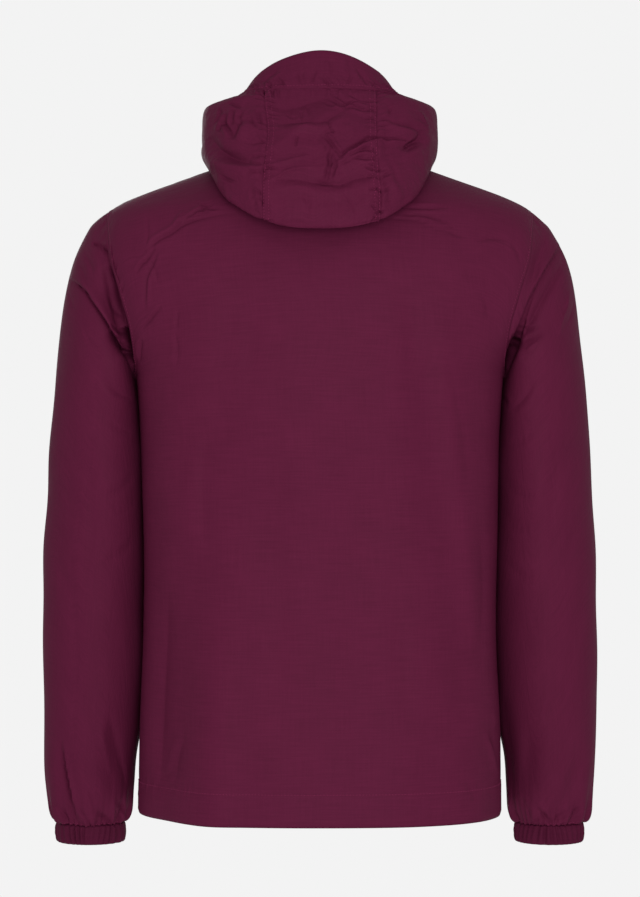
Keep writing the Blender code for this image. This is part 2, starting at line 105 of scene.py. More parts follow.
def inFrom(grid, side):
    # the axis that leads in from an edge, and every point's distance from it; the edge is low for the
    # first row, high for the last, start for the first column and end for the last
    axis = 0 if side in ("low", "high") else 1
    run = arcs(grid, axis)
    return axis, np.take(run, [-1], axis=axis) - run if side in ("high", "end") else run


def readRows(distance, away, rows):
    # every row read at one distance, between the two neighbours whose own distances lie round it
    after = np.clip((away < distance).sum(1), 1, away.shape[1] - 1)
    row = np.arange(len(away))
    low, high = away[row, after - 1], away[row, after]
    share = np.clip((distance - low) / (high - low), 0, 1)[:, None]
    return rows[row, after - 1] * (1 - share) + rows[row, after] * share


def readLine(at, run, line):
    # one line read at several distances along it
    return np.stack([np.interp(at, run, line[:, k]) for k in range(line.shape[1])], -1)


def otherSide(grid):
    # the grid on the wearer's right, its faces still outwards
    return grid[:, ::-1] * (-1, 1, 1)


# creases: each row is depth, width and lip, then x and z of three or more points, all in millimetres.
# A trough has positive depth. The lip is the height, as a share of the depth, of the ridge beside it:
# to the left of the way its points run where positive, to the right where negative.
creaseForm = {
    "steep": 1.2, "round": 1.3,         # the trough's sides
    "lipAt": 1.7, "lipWidth": 1.1,      # the ridge beside it, in widths of the crease
    "fold": 0.9, "drop": 0.35,          # from this lip on it is a fold, and drops into its trough this fast
    "taper": 0.6,                       # how bluntly it ends
    "reach": 3.5, "samples": 6,         # how far off it is worked out, in widths, and its steps to a point
}


def creaseProfile(across, lip):
    # height at so many widths from the crease's line: a rounded trough, and the lip's own rounded ridge
    across = across * np.sign(lip or 1)
    trough = -np.exp(-creaseForm["steep"] * np.abs(across) ** creaseForm["round"])
    if abs(lip) < creaseForm["fold"]:
        return trough + abs(lip) * np.exp(-((across - creaseForm["lipAt"]) / creaseForm["lipWidth"]) ** 2)
    rise = ease(across, 0, creaseForm["drop"])
    behind = np.maximum(across - creaseForm["drop"], 0) / creaseForm["lipWidth"]
    return np.where(across > 0, rise - 1 + rise * abs(lip) * np.exp(-behind ** 2), trough)


def creased(grid, normals, rows, weight=1.0):
    # each point moves along its normal by the profile at its distance from the row's line, less at both ends
    weight = np.broadcast_to(weight, grid.shape[:2])
    depth = np.zeros(grid.shape[:2])
    flat = grid[..., (0, 2)]
    for deep, width, lip, *points in rows:
        knots = np.array(points).reshape(-1, 2) * mm
        at = np.linspace(0, len(knots) - 1, creaseForm["samples"] * len(knots))
        path = smoothRead(np.arange(len(knots)), knots, at)
        reach = creaseForm["reach"] * width * mm
        near = ((flat > path.min(0) - reach) & (flat < path.max(0) + reach)).all(-1) & (weight > 0)
        if not near.any():
            continue
        point = flat[near][:, None]
        start, run = path[:-1], np.diff(path, axis=0)
        t = np.clip(((point - start) * run).sum(-1) / (run ** 2).sum(-1), 0, 1)
        away = point - start - t[..., None] * run
        gap = np.linalg.norm(away, axis=-1)
        best = gap.argmin(1)
        pick = np.arange(len(best)), best
        side = np.sign(run[best, 0] * away[pick][:, 1] - run[best, 1] * away[pick][:, 0])
        along = (best + t[pick]) / len(run)
        taper = np.clip(4 * along * (1 - along), 0, 1) ** creaseForm["taper"]
        depth[near] += deep * mm * taper * creaseProfile(side * gap[pick] / (width * mm), lip)
    return raised(grid, normals, depth * weight)


def undulation(grid, size, height, seed):
    # soft unevenness: a sum of eight slanting sine waves of about that length
    dice = np.random.default_rng(seed)
    total = np.zeros(grid.shape[:2])
    for _ in range(8):
        way = unit(dice.normal(size=3)) * 2 * math.pi / (size * dice.uniform(0.7, 1.6))
        total += np.sin(grid @ way + dice.uniform(0, 2 * math.pi))
    return total * height / 3


def ripple(run, size, seed):
    # puckers along a seam: sine waves whose length and height wander
    dice = np.random.default_rng(seed)
    a, b, c = dice.uniform(0, 2 * math.pi, 3)
    k = 2 * math.pi / size
    wave = np.sin(k * run + 1.6 * np.sin(k * run / 4.3 + a)) + 0.6 * np.sin(1.7 * k * run + b)
    return wave * (0.55 + 0.45 * np.sin(k * run / 7.1 + c))


def puckered(grid, normals, side, pucker, hold, seed):
    # ripples square to one edge, dying away from the stitch line at hold, and still at the edge itself;
    # a pucker is its height, its reach from the line and the length of a ripple
    height, reach, size = pucker
    axis, away = inFrom(grid, side)
    fade = np.exp(-((away - hold) / reach) ** 2) * ease(away, 0.0002, 0.0035)
    return raised(grid, normals, ripple(arcs(grid, 1 - axis), size, seed) * fade * height)


def rolled(grid, normals, side, drop=0.0007, reach=0.0025):
    # the cloth dips where a seam draws it in
    away = inFrom(grid, side)[1]
    return raised(grid, normals, -drop * np.exp(-(away / reach) ** 2))


def underlapped(grid, normals, side, reach=0.005, drop=0.0016, keep=1.0):
    # three more rows or columns, the turning that runs on under the neighbour; keep shortens it in places
    axis = 0 if side in ("low", "high") else 1
    lines, faces = np.moveaxis(grid, axis, 0), np.moveaxis(normals, axis, 0)
    first = side in ("low", "start")
    if first:
        lines, faces = lines[::-1], faces[::-1]
    keep = np.broadcast_to(keep, lines.shape[1])[:, None]
    onward = unit(lines[-1] - lines[-3])
    turning = ((0.0005, drop * 0.55), (0.0014, drop), (reach, drop * 1.05))     # how far out and down
    more = np.stack([lines[-1] + (onward * out - faces[-1] * down) * keep for out, down in turning])
    lines = np.concatenate((lines, more))
    return np.moveaxis(lines[::-1] if first else lines, 0, axis)


sewn = []       # every stitch line, with its normals


def sew(grid, normals, side, distances, part=(0.0, 1.0)):
    # stitch lines that far in from an edge; part is the share of the edge that they run along
    axis, away = inFrom(grid, side)
    away = np.moveaxis(away, axis, -1)
    lines = np.moveaxis(np.concatenate((grid, normals), -1), axis, -2)
    if side in ("high", "end"):
        lines, away = lines[:, ::-1], away[:, ::-1]
    first, last = (round(share * len(lines)) for share in part)
    for distance in distances:
        line = readRows(distance, away[first:last], lines[first:last])
        sewn.append((line[:, :3], unit(line[:, 3:])))


# materials

class Value:
    # an output that changes over the surface, with arithmetic
    def __init__(self, paint, socket):
        self.paint, self.socket = paint, socket

    def math(self, operation, *values):
        return self.paint.node("ShaderNodeMath", {"operation": operation}, dict(enumerate(values)))

    def __add__(self, other):
        return self.math("ADD", self, other)

    def __sub__(self, other):
        return self.math("SUBTRACT", self, other)

    def __rsub__(self, other):
        return self.math("SUBTRACT", other, self)

    def __mul__(self, other):
        return self.math("MULTIPLY", self, other)

    __radd__, __rmul__ = __add__, __mul__

    def sine(self):
        return self.math("SINE", self)

    def clamped(self):
        return self.paint.node("ShaderNodeClamp", {}, {"Value": self})


class Paint:
    # one material: its Principled shader, and the nodes that feed it
    def __init__(self, name, **constants):
        self.material = bpy.data.materials.new(name)
        self.material.use_nodes = True
        self.tree = self.material.node_tree
        self.shader = self.tree.nodes["Principled BSDF"]
        self.shade(**constants)

    def node(self, kind, settings, inputs, output=0):
        made = self.tree.nodes.new(kind)
        for name, value in settings.items():
            setattr(made, name, value)
        for socket, value in inputs.items():
            self.feed(made.inputs[socket], value)
        return Value(self, made.outputs[output])

    def feed(self, socket, value):
        if isinstance(value, Value):
            self.tree.links.new(value.socket, socket)
        else:
            socket.default_value = value

    def shade(self, **inputs):
        for socket, value in inputs.items():
            self.feed(self.shader.inputs[socket.replace("_", " ")], value)

    def onCloth(self):
        # metres across and along the cut cloth
        return self.node("ShaderNodeUVMap", {"uv_map": "cloth"}, {})

    def inSpace(self):
        return self.node("ShaderNodeTexCoord", {}, {}, "Object")

    def noise(self, place, scale, detail=2.0, rough=0.5):
        sockets = {"Vector": place, "Scale": scale, "Detail": detail, "Roughness": rough}
        return self.node("ShaderNodeTexNoise", {}, sockets)

    def stretched(self, place, x, y, z=1.0):
        return self.node("ShaderNodeVectorMath", {"operation": "MULTIPLY"}, {0: place, 1: (x, y, z)})

    def mix(self, factor, dark, light):
        # the colour sockets are the Mix node's inputs 6 and 7, and its output 2
        sockets = {0: factor, 6: (*dark, 1.0), 7: (*light, 1.0)}
        return self.node("ShaderNodeMix", {"data_type": "RGBA"}, sockets, 2)

    def bump(self, height, strength, distance, **under):
        sockets = {"Height": height, "Strength": strength, "Distance": distance}
        return self.node("ShaderNodeBump", {}, {**sockets, **under})


def tinted(colour, share):
    return tuple(channel * share for channel in colour)


nylon = {
    "colour": (0.110, 0.0125, 0.0410), "dark": 0.90, "light": 1.10,
    "roughness": 0.55, "cloudy": 0.2, "specular": 0.05, "ior": 1.3,
    "threads": 620.0, "warpRun": 26, "weftRun": 22,     # streaks to the metre, and their length in widths
    "cloudScale": 22.0, "crinkleScale": 70.0, "crinkleDepth": 0.0012,
    "threadBump": 0.18, "threadDepth": 0.0002,
}


def nylonPaint(name, tint=1.0, crinkle=0.5):
    # woven nylon: thread streaks both ways, faint cloudiness, and the small crinkles of a packed jacket
    paint = Paint(name, IOR=nylon["ior"], Specular_IOR_Level=nylon["specular"])
    place = paint.onCloth()
    threads = nylon["threads"]
    warp = paint.noise(paint.stretched(place, threads, threads / nylon["warpRun"]), 1.0)
    weft = paint.noise(paint.stretched(place, threads / nylon["weftRun"], threads), 1.0)
    cloud = paint.noise(place, nylon["cloudScale"], 3.0)
    streak = warp * 0.36 + weft * 0.64
    factor = (streak - 0.5) * 2.2 + (cloud - 0.5) * 0.9 + 0.5
    base = tinted(nylon["colour"], tint)
    creasing = paint.noise(place, nylon["crinkleScale"], 4.0, 0.6)
    fine = paint.bump(streak, nylon["threadBump"], nylon["threadDepth"])
    soft = paint.bump(creasing, crinkle, nylon["crinkleDepth"], Normal=fine)
    colour = paint.mix(factor.clamped(), tinted(base, nylon["dark"]), tinted(base, nylon["light"]))
    rough = nylon["roughness"] + (cloud - 0.5) * nylon["cloudy"]
    paint.shade(Base_Color=colour, Roughness=rough, Normal=soft)
    return paint.material


shellPaint = nylonPaint("nylonShell")
# the hood's and brim's nylon is tinted a little darker than the shell: painted shade, standing in for the
# shade on the hood's upward-facing panels
hoodShadedPaint = nylonPaint("nylonHood", tint=0.97, crinkle=1.5)
# the cuffs' nylon is tinted darker than the shell: painted shade, standing in for the shade in their gathered
# pleats
cuffShadedPaint = nylonPaint("nylonCuff", tint=0.79)


thread = {"dark": 1.7, "light": 2.5, "roughness": 0.6}      # shares of the nylon's colour


def threadPaint():
    paint = Paint("sewingThread", IOR=nylon["ior"], Specular_IOR_Level=0.2, Roughness=thread["roughness"])
    dark, light = (tinted(nylon["colour"], thread[shade]) for shade in ("dark", "light"))
    paint.shade(Base_Color=paint.mix(paint.noise(paint.inSpace(), 300.0), dark, light))
    return paint.material


tape = {
    "colour": (0.070, 0.009, 0.027), "dark": 0.7, "light": 1.2, "roughness": 0.8,
    "turn": 500.0, "ribs": 6000.0, "slant": 5.0, "depth": 0.0003,
}


def tapePaint():
    # herringbone of the woven tape: slanted ribs that turn every two millimetres
    paint = Paint("zipTape", IOR=1.4, Specular_IOR_Level=0.2, Roughness=tape["roughness"])
    place = paint.onCloth()
    u, v = (paint.node("ShaderNodeSeparateXYZ", {}, {0: place}, k) for k in (0, 1))
    zigzag = u.math("PINGPONG", u * tape["turn"], 1.0)
    rib = (v * tape["ribs"] + zigzag * tape["slant"]).sine() * 0.5 + 0.5
    dark, light = (tinted(tape["colour"], tape[shade]) for shade in ("dark", "light"))
    paint.shade(Base_Color=paint.mix(rib, dark, light), Normal=paint.bump(rib, 0.5, tape["depth"]))
    return paint.material


teeth = {"dark": (0.060, 0.008, 0.024), "light": (0.085, 0.011, 0.033), "roughness": 0.32, "cloudy": 0.16}


def teethPaint():
    paint = Paint("zipTeeth", IOR=1.45, Specular_IOR_Level=0.4)
    cloud = paint.noise(paint.inSpace(), 160.0, 3.0)
    colour = paint.mix(cloud, teeth["dark"], teeth["light"])
    paint.shade(Base_Color=colour, Roughness=teeth["roughness"] + cloud * teeth["cloudy"])
    return paint.material


plating = {
    "dark": (0.050, 0.045, 0.048), "light": (0.120, 0.112, 0.115), "metallic": 0.85, "roughness": 0.25,
    "scratches": (2500.0, 2500.0, 120.0),       # to the metre each way
}


def metalPaint():
    # dark plated metal, rubbed a little paler in patches
    paint = Paint("sliderMetal")
    place = paint.inSpace()
    cloud = paint.noise(place, 240.0, 4.0, 0.6)
    scratch = paint.noise(paint.stretched(place, *plating["scratches"]), 1.0)
    paint.shade(Base_Color=paint.mix(cloud, plating["dark"], plating["light"]),
                Metallic=plating["metallic"] + cloud * 0.1, Roughness=plating["roughness"] + scratch * 0.25,
                Normal=paint.bump(scratch, 0.08, 0.0001))
    return paint.material


threadFinish, tapeFinish, teethFinish, metalFinish = threadPaint(), tapePaint(), teethPaint(), metalPaint()


# meshes

def linked(name, data):
    made = bpy.data.objects.new(name, data)
    bpy.context.scene.collection.objects.link(made)
    return made


def sideName(side):
    # side is 1 for the wearer's left and -1 for the right
    return "left" if side > 0 else "right"


def meshFrom(name, points, faces, material, uv=None):
    # points are rows of x, y and z, and faces rows of four corners
    mesh = bpy.data.meshes.new(name)
    mesh.vertices.add(len(points))
    mesh.vertices.foreach_set("co", np.ascontiguousarray(points, np.float32).ravel())
    mesh.loops.add(faces.size)
    mesh.loops.foreach_set("vertex_index", faces.astype(np.int32).ravel())
    mesh.polygons.add(len(faces))
    mesh.polygons.foreach_set("loop_start", np.arange(0, faces.size, faces.shape[1], dtype=np.int32))
    mesh.update(calc_edges=True)
    mesh.validate()
    if uv is not None:
        mesh.uv_layers.new(name="cloth").data.foreach_set("uv", np.ascontiguousarray(uv, np.float32).ravel())
    mesh.shade_smooth()
    mesh.materials.append(material)
    return linked(name, mesh)


def gridFaces(rows, columns, closed=False):
    # a face between every two rows and two columns; closed joins the last column to the first
    index = np.arange(rows * columns).reshape(rows, columns)
    here, beside = (index, np.roll(index, -1, 1)) if closed else (index[:, :-1], index[:, 1:])
    return np.stack((here[:-1], beside[:-1], beside[1:], here[1:]), -1).reshape(-1, 4)


def clothPiece(name, grid, material, wall=0.0005, closed=False):
    # a grid of cloth with its wall inside it, and UVs in metres across and along
    rows, columns = grid.shape[:2]
    full = np.concatenate((grid, grid[:, :1]), 1) if closed else grid
    middle = full.shape[1] // 2
    across, along = arcs(full, 1), arcs(full, 0)
    across = across - across[:, middle:middle + 1]
    uv = np.stack((across, along), -1).reshape(-1, 2)[gridFaces(rows, full.shape[1]).ravel()]
    made = meshFrom(name, grid.reshape(-1, 3), gridFaces(rows, columns, closed), material, uv)
    solid = made.modifiers.new("wall", "SOLIDIFY")
    solid.thickness, solid.offset = wall, -1
    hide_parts(name)
    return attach(made, "jacket")


def ringSolids(name, points, material):
    # many small solids in one mesh, each a row of four-cornered rings with both ends closed
    count, rings = points.shape[:2]
    ends = ((3, 2, 1, 0), range(4 * rings - 4, 4 * rings))
    faces = np.concatenate((gridFaces(rings, 4, closed=True), ends))
    every = (faces + 4 * rings * np.arange(count)[:, None, None]).reshape(-1, 4)
    return meshFrom(name, points.reshape(-1, 3), every, material)


stitching = {
    "length": 0.0025, "pitch": 0.0033, "thick": 0.00036, "proud": 0.00022, "flat": 0.8,
    # three rings along a stitch: place in its lengths, then size and height in its thicknesses
    "rings": np.array(((-0.5, 0.3, -1.5), (0.0, 1.0, 0.3), (0.5, 0.3, -1.5))),
}


def stitches(name, lines):
    # a run of stitches on each line: every stitch is a spindle of four-cornered rings, sunk at both ends
    long, pitch, thick = (stitching[key] for key in ("length", "pitch", "thick"))
    place, size, height = (stitching["rings"][None, :, None, k:k + 1] for k in range(3))
    corner = np.array(((1, 0), (0, 1), (-1, 0), (0, -1)))[None, None] * (1, stitching["flat"])
    points = []
    for line, normal in lines:
        run = arcs(line[None], 1)[0]
        at = np.arange(0.4, run[-1] / pitch - 0.6) * pitch
        centre, up = readLine(at, run, line), unit(readLine(at, run, normal))
        ahead = unit(np.gradient(centre, axis=0))
        aside = np.cross(up, ahead)
        centre, up, ahead, aside = (each[:, None, None] for each in (centre, up, ahead, aside))
        ring = centre + ahead * place * long + up * (height * thick + stitching["proud"])
        points.append(ring + (aside * corner[..., :1] + up * corner[..., 1:]) * size * thick)
    made = ringSolids(name, np.concatenate(points), threadFinish)
    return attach(made, "jacket")


# torso

torso = {
    "hem": -0.691, "armpit": -0.233, "tip": -0.056,             # hem, and the armhole's bottom and top
    "backCut": math.radians(24), "frontCut": math.radians(31),  # how far the armhole cuts into the rows
    "bladeTurn": 1.22, "bladeReach": 0.30,
    "blade": (0.009, 0.014),        # fullness beside the back armholes, left and right
    "neckDrop": 0.010, "frontGap": 0.009, "neckFront": -0.0729, "neckHalf": 0.08,
    "hemBand": 0.0335, "bandThick": 0.0006, "seamStitch": 0.005, "zipStitch": 0.006, "puckerHold": 0.006,
    # height, reach and ripple length of the puckers at the hem, the zip and the side seams
    "hemPucker": (0.00035, 0.008, 0.011), "zipPucker": (0.0005, 0.007, 0.011),
    "sidePucker": (0.0003, 0.006, 0.014),
    # the back's left and right seams: how far they dip, their puckers and the seed of those
    "backSeams": (("start", 0.0003, (0.0004, 0.006, 0.014), 12), ("end", 0.0001, (0.0002, 0.006, 0.014), 13)),
    "overSleeve": 0.0016,           # how far the back's edges stand up over the sleeves
    # size, height and seed of the soft unevenness; most of the back's finer one runs down it
    "backSwell": (0.13, 0.0006, 3), "fineSwell": (0.05, 0.0005, 4), "fineRun": (1, 1, 0.22),
    "frontSwell": (0.12, 0.0007, 5),
    "backDepth": 1.9, "frontDepth": 1.6,        # what the creases' depths below are multiplied by
    "softenings": 90,
    "backCloth": (0.575, 0.72, 0.372), "frontCloth": (0.265, 0.73, 0.167),     # flat width, length and area
    # height, half width, back, front, squareness
    "levels": np.array((
        (-0.691, 0.1912, 0.148, 0.128, 2.7), (-0.620, 0.1903, 0.142, 0.124, 2.7),
        (-0.500, 0.1864, 0.131, 0.117, 2.8), (-0.400, 0.1866, 0.127, 0.113, 2.8),
        (-0.310, 0.1884, 0.132, 0.116, 2.8), (-0.233, 0.1936, 0.136, 0.119, 2.9),
        (-0.190, 0.2040, 0.136, 0.119, 2.9), (-0.148, 0.2190, 0.134, 0.117, 2.9),
        (-0.105, 0.2300, 0.127, 0.110, 2.8), (-0.063, 0.2268, 0.112, 0.097, 2.4),
        (-0.056, 0.2208, 0.109, 0.094, 2.3), (-0.050, 0.2118, 0.105, 0.091, 2.15),
        (-0.045, 0.2015, 0.102, 0.089, 2.0), (-0.0145, 0.1177, 0.081, 0.076, 1.9),
        (0.000, 0.0800, 0.070, 0.070, 2.0))),
    # levels up the side, closer near the hem and the armpit, then rows along the armhole and the shoulder
    "side": (-0.691, 26, -0.600, 36, -0.275, 12, -0.233), "rows": (140, 40),
    "across": (1, 86, 0.36, 28, -0.40, 62, -1),
    "frontSide": (-0.691, 24, -0.600, 36, -0.275, 10, -0.233), "frontRows": (70, 26),
    "frontAcross": (0, 30, 0.30, 38, 1),
}
holeMiddle, holeHalf = (torso["armpit"] + torso["tip"]) / 2, (torso["tip"] - torso["armpit"]) / 2


def torsoShape(level):
    # half width, back, front and squareness at those heights
    return smoothRead(torso["levels"][:, 0], torso["levels"][:, 1:], level, limit=True)


def torsoPoint(level, turn, face):
    # superellipse arc at each level: x is sine and y cosine of the turn, to a power;
    # face is 1 behind and -1 in front
    level, turn = np.broadcast_arrays(level, turn)
    shape = torsoShape(level.ravel()).reshape(*level.shape, 4)
    bend = 2 / shape[..., 3]
    depth = shape[..., 1] if face > 0 else shape[..., 2]
    dip = 0
    y = depth * signedPower(np.cos(turn), bend)
    if face > 0:
        dip = torso["neckDrop"] * np.clip(1 - level / torso["tip"], 0, 1) ** 2 * np.cos(turn) ** 2
        hole = ease(-level, 0.056, 0.085) * ease(level, -0.232, -0.188)
        full = np.where(turn > 0, *torso["blade"])
        y = y + full * hole * np.exp(-((np.abs(turn) - torso["bladeTurn"]) / torso["bladeReach"]) ** 2)
    return np.stack((shape[..., 0] * signedPower(np.sin(turn), bend), face * y, level - dip), -1)


def torsoRows(side="side", rows="rows"):
    # the levels from the hem to the neck; along the armhole they are closer at its two ends
    hole, top = torso[rows]
    part = np.linspace(0, 1, hole + 1)[:-1]
    beside = holeMiddle - holeHalf * (0.6 * (1 - 2 * part) + 0.4 * np.cos(math.pi * part))
    return np.concatenate((steps(*torso[side])[:-1], beside, np.linspace(torso["tip"], 0, top + 1)))


def softened(grid, across, share=1.0):
    # the roll over the shoulders, eased along each column but for the shoulder seam
    below = -grid[..., 2]
    held = share * ease(below, 0.004, 0.030) * (1 - ease(below, 0.11, 0.16)) * (1 - np.abs(across) ** 6)
    for _ in range(torso["softenings"]):
        grid[1:-1] += held[1:-1, :, None] * ((grid[:-2] + grid[2:]) / 4 - grid[1:-1] / 2)
    return grid


def armholeTurn(level, face):
    # the turn of the panel's outer edge: a quarter, less the armhole's ellipse
    cut = np.sqrt(np.clip(1 - ((level - holeMiddle) / holeHalf) ** 2, 0, 1))
    return math.pi / 2 - (torso["backCut"] if face > 0 else torso["frontCut"]) * cut


def frontStart(level):
    # turn of the front's inner edge: beside the zip, then round the neck
    neck = torso["neckHalf"] * np.sqrt(np.clip(1 - (level / torso["neckFront"]) ** 2, 0, 1))
    start = np.where(level < torso["neckFront"], torso["frontGap"], np.maximum(neck, torso["frontGap"]))
    shape = torsoShape(level)
    return np.arcsin(np.clip(start / shape[:, 0], 0, 1) ** (shape[:, 3] / 2))


def longFolds(grid, rows, face):
    # the soft folds that the frame has too, a rounded trough along a straight line
    out = grid.copy()
    for xTop, zTop, xLow, zLow, width, depth in rows:
        start, run = np.array((xTop, zTop)), np.array((xLow - xTop, zLow - zTop))
        offset = grid[..., (0, 2)] - start
        along = offset @ run / (run @ run)
        across = (offset[..., 0] * run[1] - offset[..., 1] * run[0]) / math.sqrt(run @ run)
        taper = np.sin(np.pi * np.clip(along, 0, 1)) ** 0.7
        out[..., 1] -= face * depth * taper * np.exp(-(across / width) ** 2)
    return out


# x and z of each end, width and depth
backFolds = ((-0.085, -0.13, -0.160, -0.58, 0.020, 0.006), (-0.125, -0.18, -0.178, -0.62, 0.016, -0.003),
             (0.082, -0.14, 0.150, -0.68, 0.024, 0.005), (0.168, -0.36, 0.172, -0.90, 0.034, 0.020),
             (0.112, -0.34, 0.112, -0.92, 0.026, -0.006), (0.020, -0.12, 0.010, -0.60, 0.022, -0.003),
             (-0.030, -0.30, -0.045, -0.70, 0.020, 0.003))
frontFolds = ((-0.090, -0.14, -0.140, -0.55, 0.022, 0.005), (0.095, -0.16, 0.135, -0.60, 0.022, 0.005),
              (-0.050, -0.34, -0.060, -0.70, 0.018, -0.003), (0.055, -0.30, 0.070, -0.68, 0.018, -0.003))

backCreases = (
    # from the neck out over the left shoulder blade, and its branches
    (2.0, 2.3, 0.6, 98, -67, 114, -70, 130, -74, 142, -79, 153, -87, 163, -92, 171, -98, 176, -106),
    (1.9, 1.5, 0.5, 103, -60, 113, -65, 123, -68, 132, -71),
    (2.1, 1.5, 0.5, 102, -47, 113, -57, 121, -62, 134, -70, 147, -79),
    (1.5, 1.3, -0.4, 107, -54, 115, -61, 124, -66),
    (-1.2, 2.2, 0.0, 138, -64, 145, -71, 150, -80),
    (1.6, 1.8, 0.5, 169, -101, 177, -114, 183, -119, 189, -128),
    (1.4, 1.9, -0.5, 166, -107, 171, -119, 175, -127, 178, -135, 179, -148, 180, -165),
    (1.3, 1.7, 0.4, 162, -163, 169, -170, 176, -178, 184, -186),
    (0.8, 1.5, 0.3, 178, -70, 177, -86, 178, -103),
    (0.7, 1.6, 0.3, 174, -115, 169, -126, 166, -139),
    (1.4, 2.2, 0.4, 184, -196, 186, -206, 187, -218),
    (0.7, 2.0, 0.3, 144, -166, 146, -176, 146, -186),
    (0.9, 2.6, 0.3, 148, -190, 146, -205, 147, -224),
    (1.0, 6.0, 0.4, 70, -160, 71, -232, 78, -280),
    (1.3, 8.0, 0.3, 112, -285, 120, -350, 117, -430),
    (2.4, 10.0, 0.3, 157, -455, 164, -560, 167, -665),
    (1.0, 3.0, 0.4, 150, -636, 158, -644, 170, -648),
    (1.0, 4.0, 0.4, 138, -600, 146, -624, 149, -652),
    (0.9, 1.8, 0.4, 94, -671, 90, -679, 85, -683, 80, -689),
    # the right shoulder blade
    (-1.1, 2.0, 0.0, -98, -56, -112, -58, -124, -54),
    (1.5, 1.6, 0.4, -92, -61, -104, -62, -116, -62, -126, -59),
    (1.5, 1.5, 0.4, -84, -71, -100, -69, -114, -72, -127, -77, -138, -84),
    (1.2, 1.5, -0.4, -74, -75, -87, -73, -102, -76, -113, -81, -124, -88),
    (0.9, 2.6, 0.3, -120, -80, -136, -88, -150, -92),
    (1.1, 3.0, 0.4, -160, -96, -176, -92, -194, -94),
    (0.8, 2.4, 0.3, -196, -96, -203, -106, -206, -118),
    (0.9, 4.0, 0.5, -89, -155, -91, -200, -90, -262),
    (0.9, 5.0, -0.4, -110, -215, -112, -240, -111, -270),
    (1.0, 7.0, 0.3, -130, -212, -145, -280, -153, -350),
    (0.7, 3.0, 0.3, -163, -150, -170, -160, -172, -176),
    (1.2, 9.0, 0.3, -165, -380, -170, -460, -164, -540),
    (-1.4, 2.6, 0.0, -169, -603, -175, -615, -180, -631, -185, -649),
    (-1.2, 2.2, 0.0, -178, -582, -182, -596),
    (1.1, 3.0, 0.3, -176, -600, -182, -622, -186, -640),
    (0.8, 3.0, 0.3, -148, -650, -156, -660, -158, -670),
    # hardly any down the middle
    (0.6, 7.0, 0.3, 14, -232, 20, -280, 16, -335),
    (0.6, 7.0, -0.3, -42, -240, -46, -290, -40, -350),
    (0.7, 8.0, 0.3, 36, -420, 44, -500, 40, -590),
    (0.7, 8.0, -0.3, -70, -430, -84, -520, -88, -620))
frontCreases = (
    (1.8, 3.0, 0.5, 78, -58, 104, -72, 128, -84, 150, -102),
    (1.4, 2.6, -0.5, 150, -110, 168, -128, 176, -150),
    (1.2, 2.4, 0.4, 110, -96, 134, -112, 149, -134),
    (-1.1, 2.4, 0.0, 92, -70, 116, -86, 140, -98),
    (1.5, 3.0, 0.5, 184, -214, 170, -238, 150, -258),
    (1.1, 2.6, 0.4, 187, -232, 176, -262, 160, -284),
    (1.0, 2.6, 0.4, 16, -118, 34, -132, 58, -140),
    (0.9, 2.4, -0.4, 15, -178, 30, -186, 50, -184),
    (1.1, 3.0, 0.4, 14, -262, 36, -280, 62, -286),
    (0.9, 2.6, 0.4, 15, -352, 28, -366, 47, -372),
    (1.2, 3.2, -0.4, 14, -446, 38, -468, 66, -474),
    (1.0, 2.8, 0.4, 15, -556, 30, -574, 56, -590),
    (1.2, 7.0, 0.4, 96, -180, 104, -260, 99, -340),
    (1.5, 9.0, 0.3, 140, -340, 150, -430, 152, -540),
    (1.2, 7.0, -0.3, 74, -420, 80, -520, 76, -640),
    (1.1, 3.0, 0.4, 168, -610, 158, -632, 152, -660),
    (-1.1, 2.6, 0.0, 174, -566, 168, -590, 164, -618),
    (1.7, 3.0, -0.5, -82, -60, -108, -70, -130, -88, -146, -104),
    (1.3, 2.4, 0.4, -152, -112, -166, -132, -171, -156),
    (1.2, 2.6, -0.4, -104, -92, -126, -110, -146, -128),
    (1.5, 3.0, -0.5, -185, -210, -168, -232, -146, -246),
    (1.2, 2.6, -0.4, -188, -238, -178, -264, -158, -290),
    (0.9, 2.4, 0.4, -15, -142, -32, -150, -54, -148),
    (1.0, 2.8, -0.4, -14, -214, -34, -232, -60, -240),
    (0.9, 2.4, 0.4, -15, -308, -29, -318, -48, -316),
    (1.1, 3.0, -0.4, -14, -402, -36, -420, -64, -432),
    (1.0, 2.6, 0.4, -15, -508, -30, -520, -52, -522),
    (1.2, 3.0, -0.4, -14, -612, -34, -630, -60, -636),
    (1.2, 7.0, 0.4, -100, -170, -112, -250, -104, -330),
    (1.4, 9.0, -0.3, -136, -350, -148, -440, -158, -560),
    (1.2, 7.0, 0.3, -84, -440, -78, -540, -88, -650),
    (1.1, 2.8, -0.4, -172, -600, -160, -626, -156, -656),
    (-1.0, 2.4, 0.0, -166, -548, -172, -572, -170, -600))


def holePart(level):
    # the armhole's share of the rows
    return np.searchsorted(level, (torso["armpit"], torso["tip"])) / len(level)


def hemmed(grid, normals):
    # the hem's band is a little thicker than the cloth above it, and its stitch line draws in
    up = arcs(grid, 0)
    band = torso["bandThick"] * (1 - ease(up, torso["hemBand"] - 0.0005, torso["hemBand"] + 0.0015))
    line = -torso["bandThick"] * np.exp(-((up - torso["hemBand"]) / 0.002) ** 2)
    edge = -0.0012 * np.exp(-(up / 0.0018) ** 2)
    return raised(grid, normals, band + line + edge)


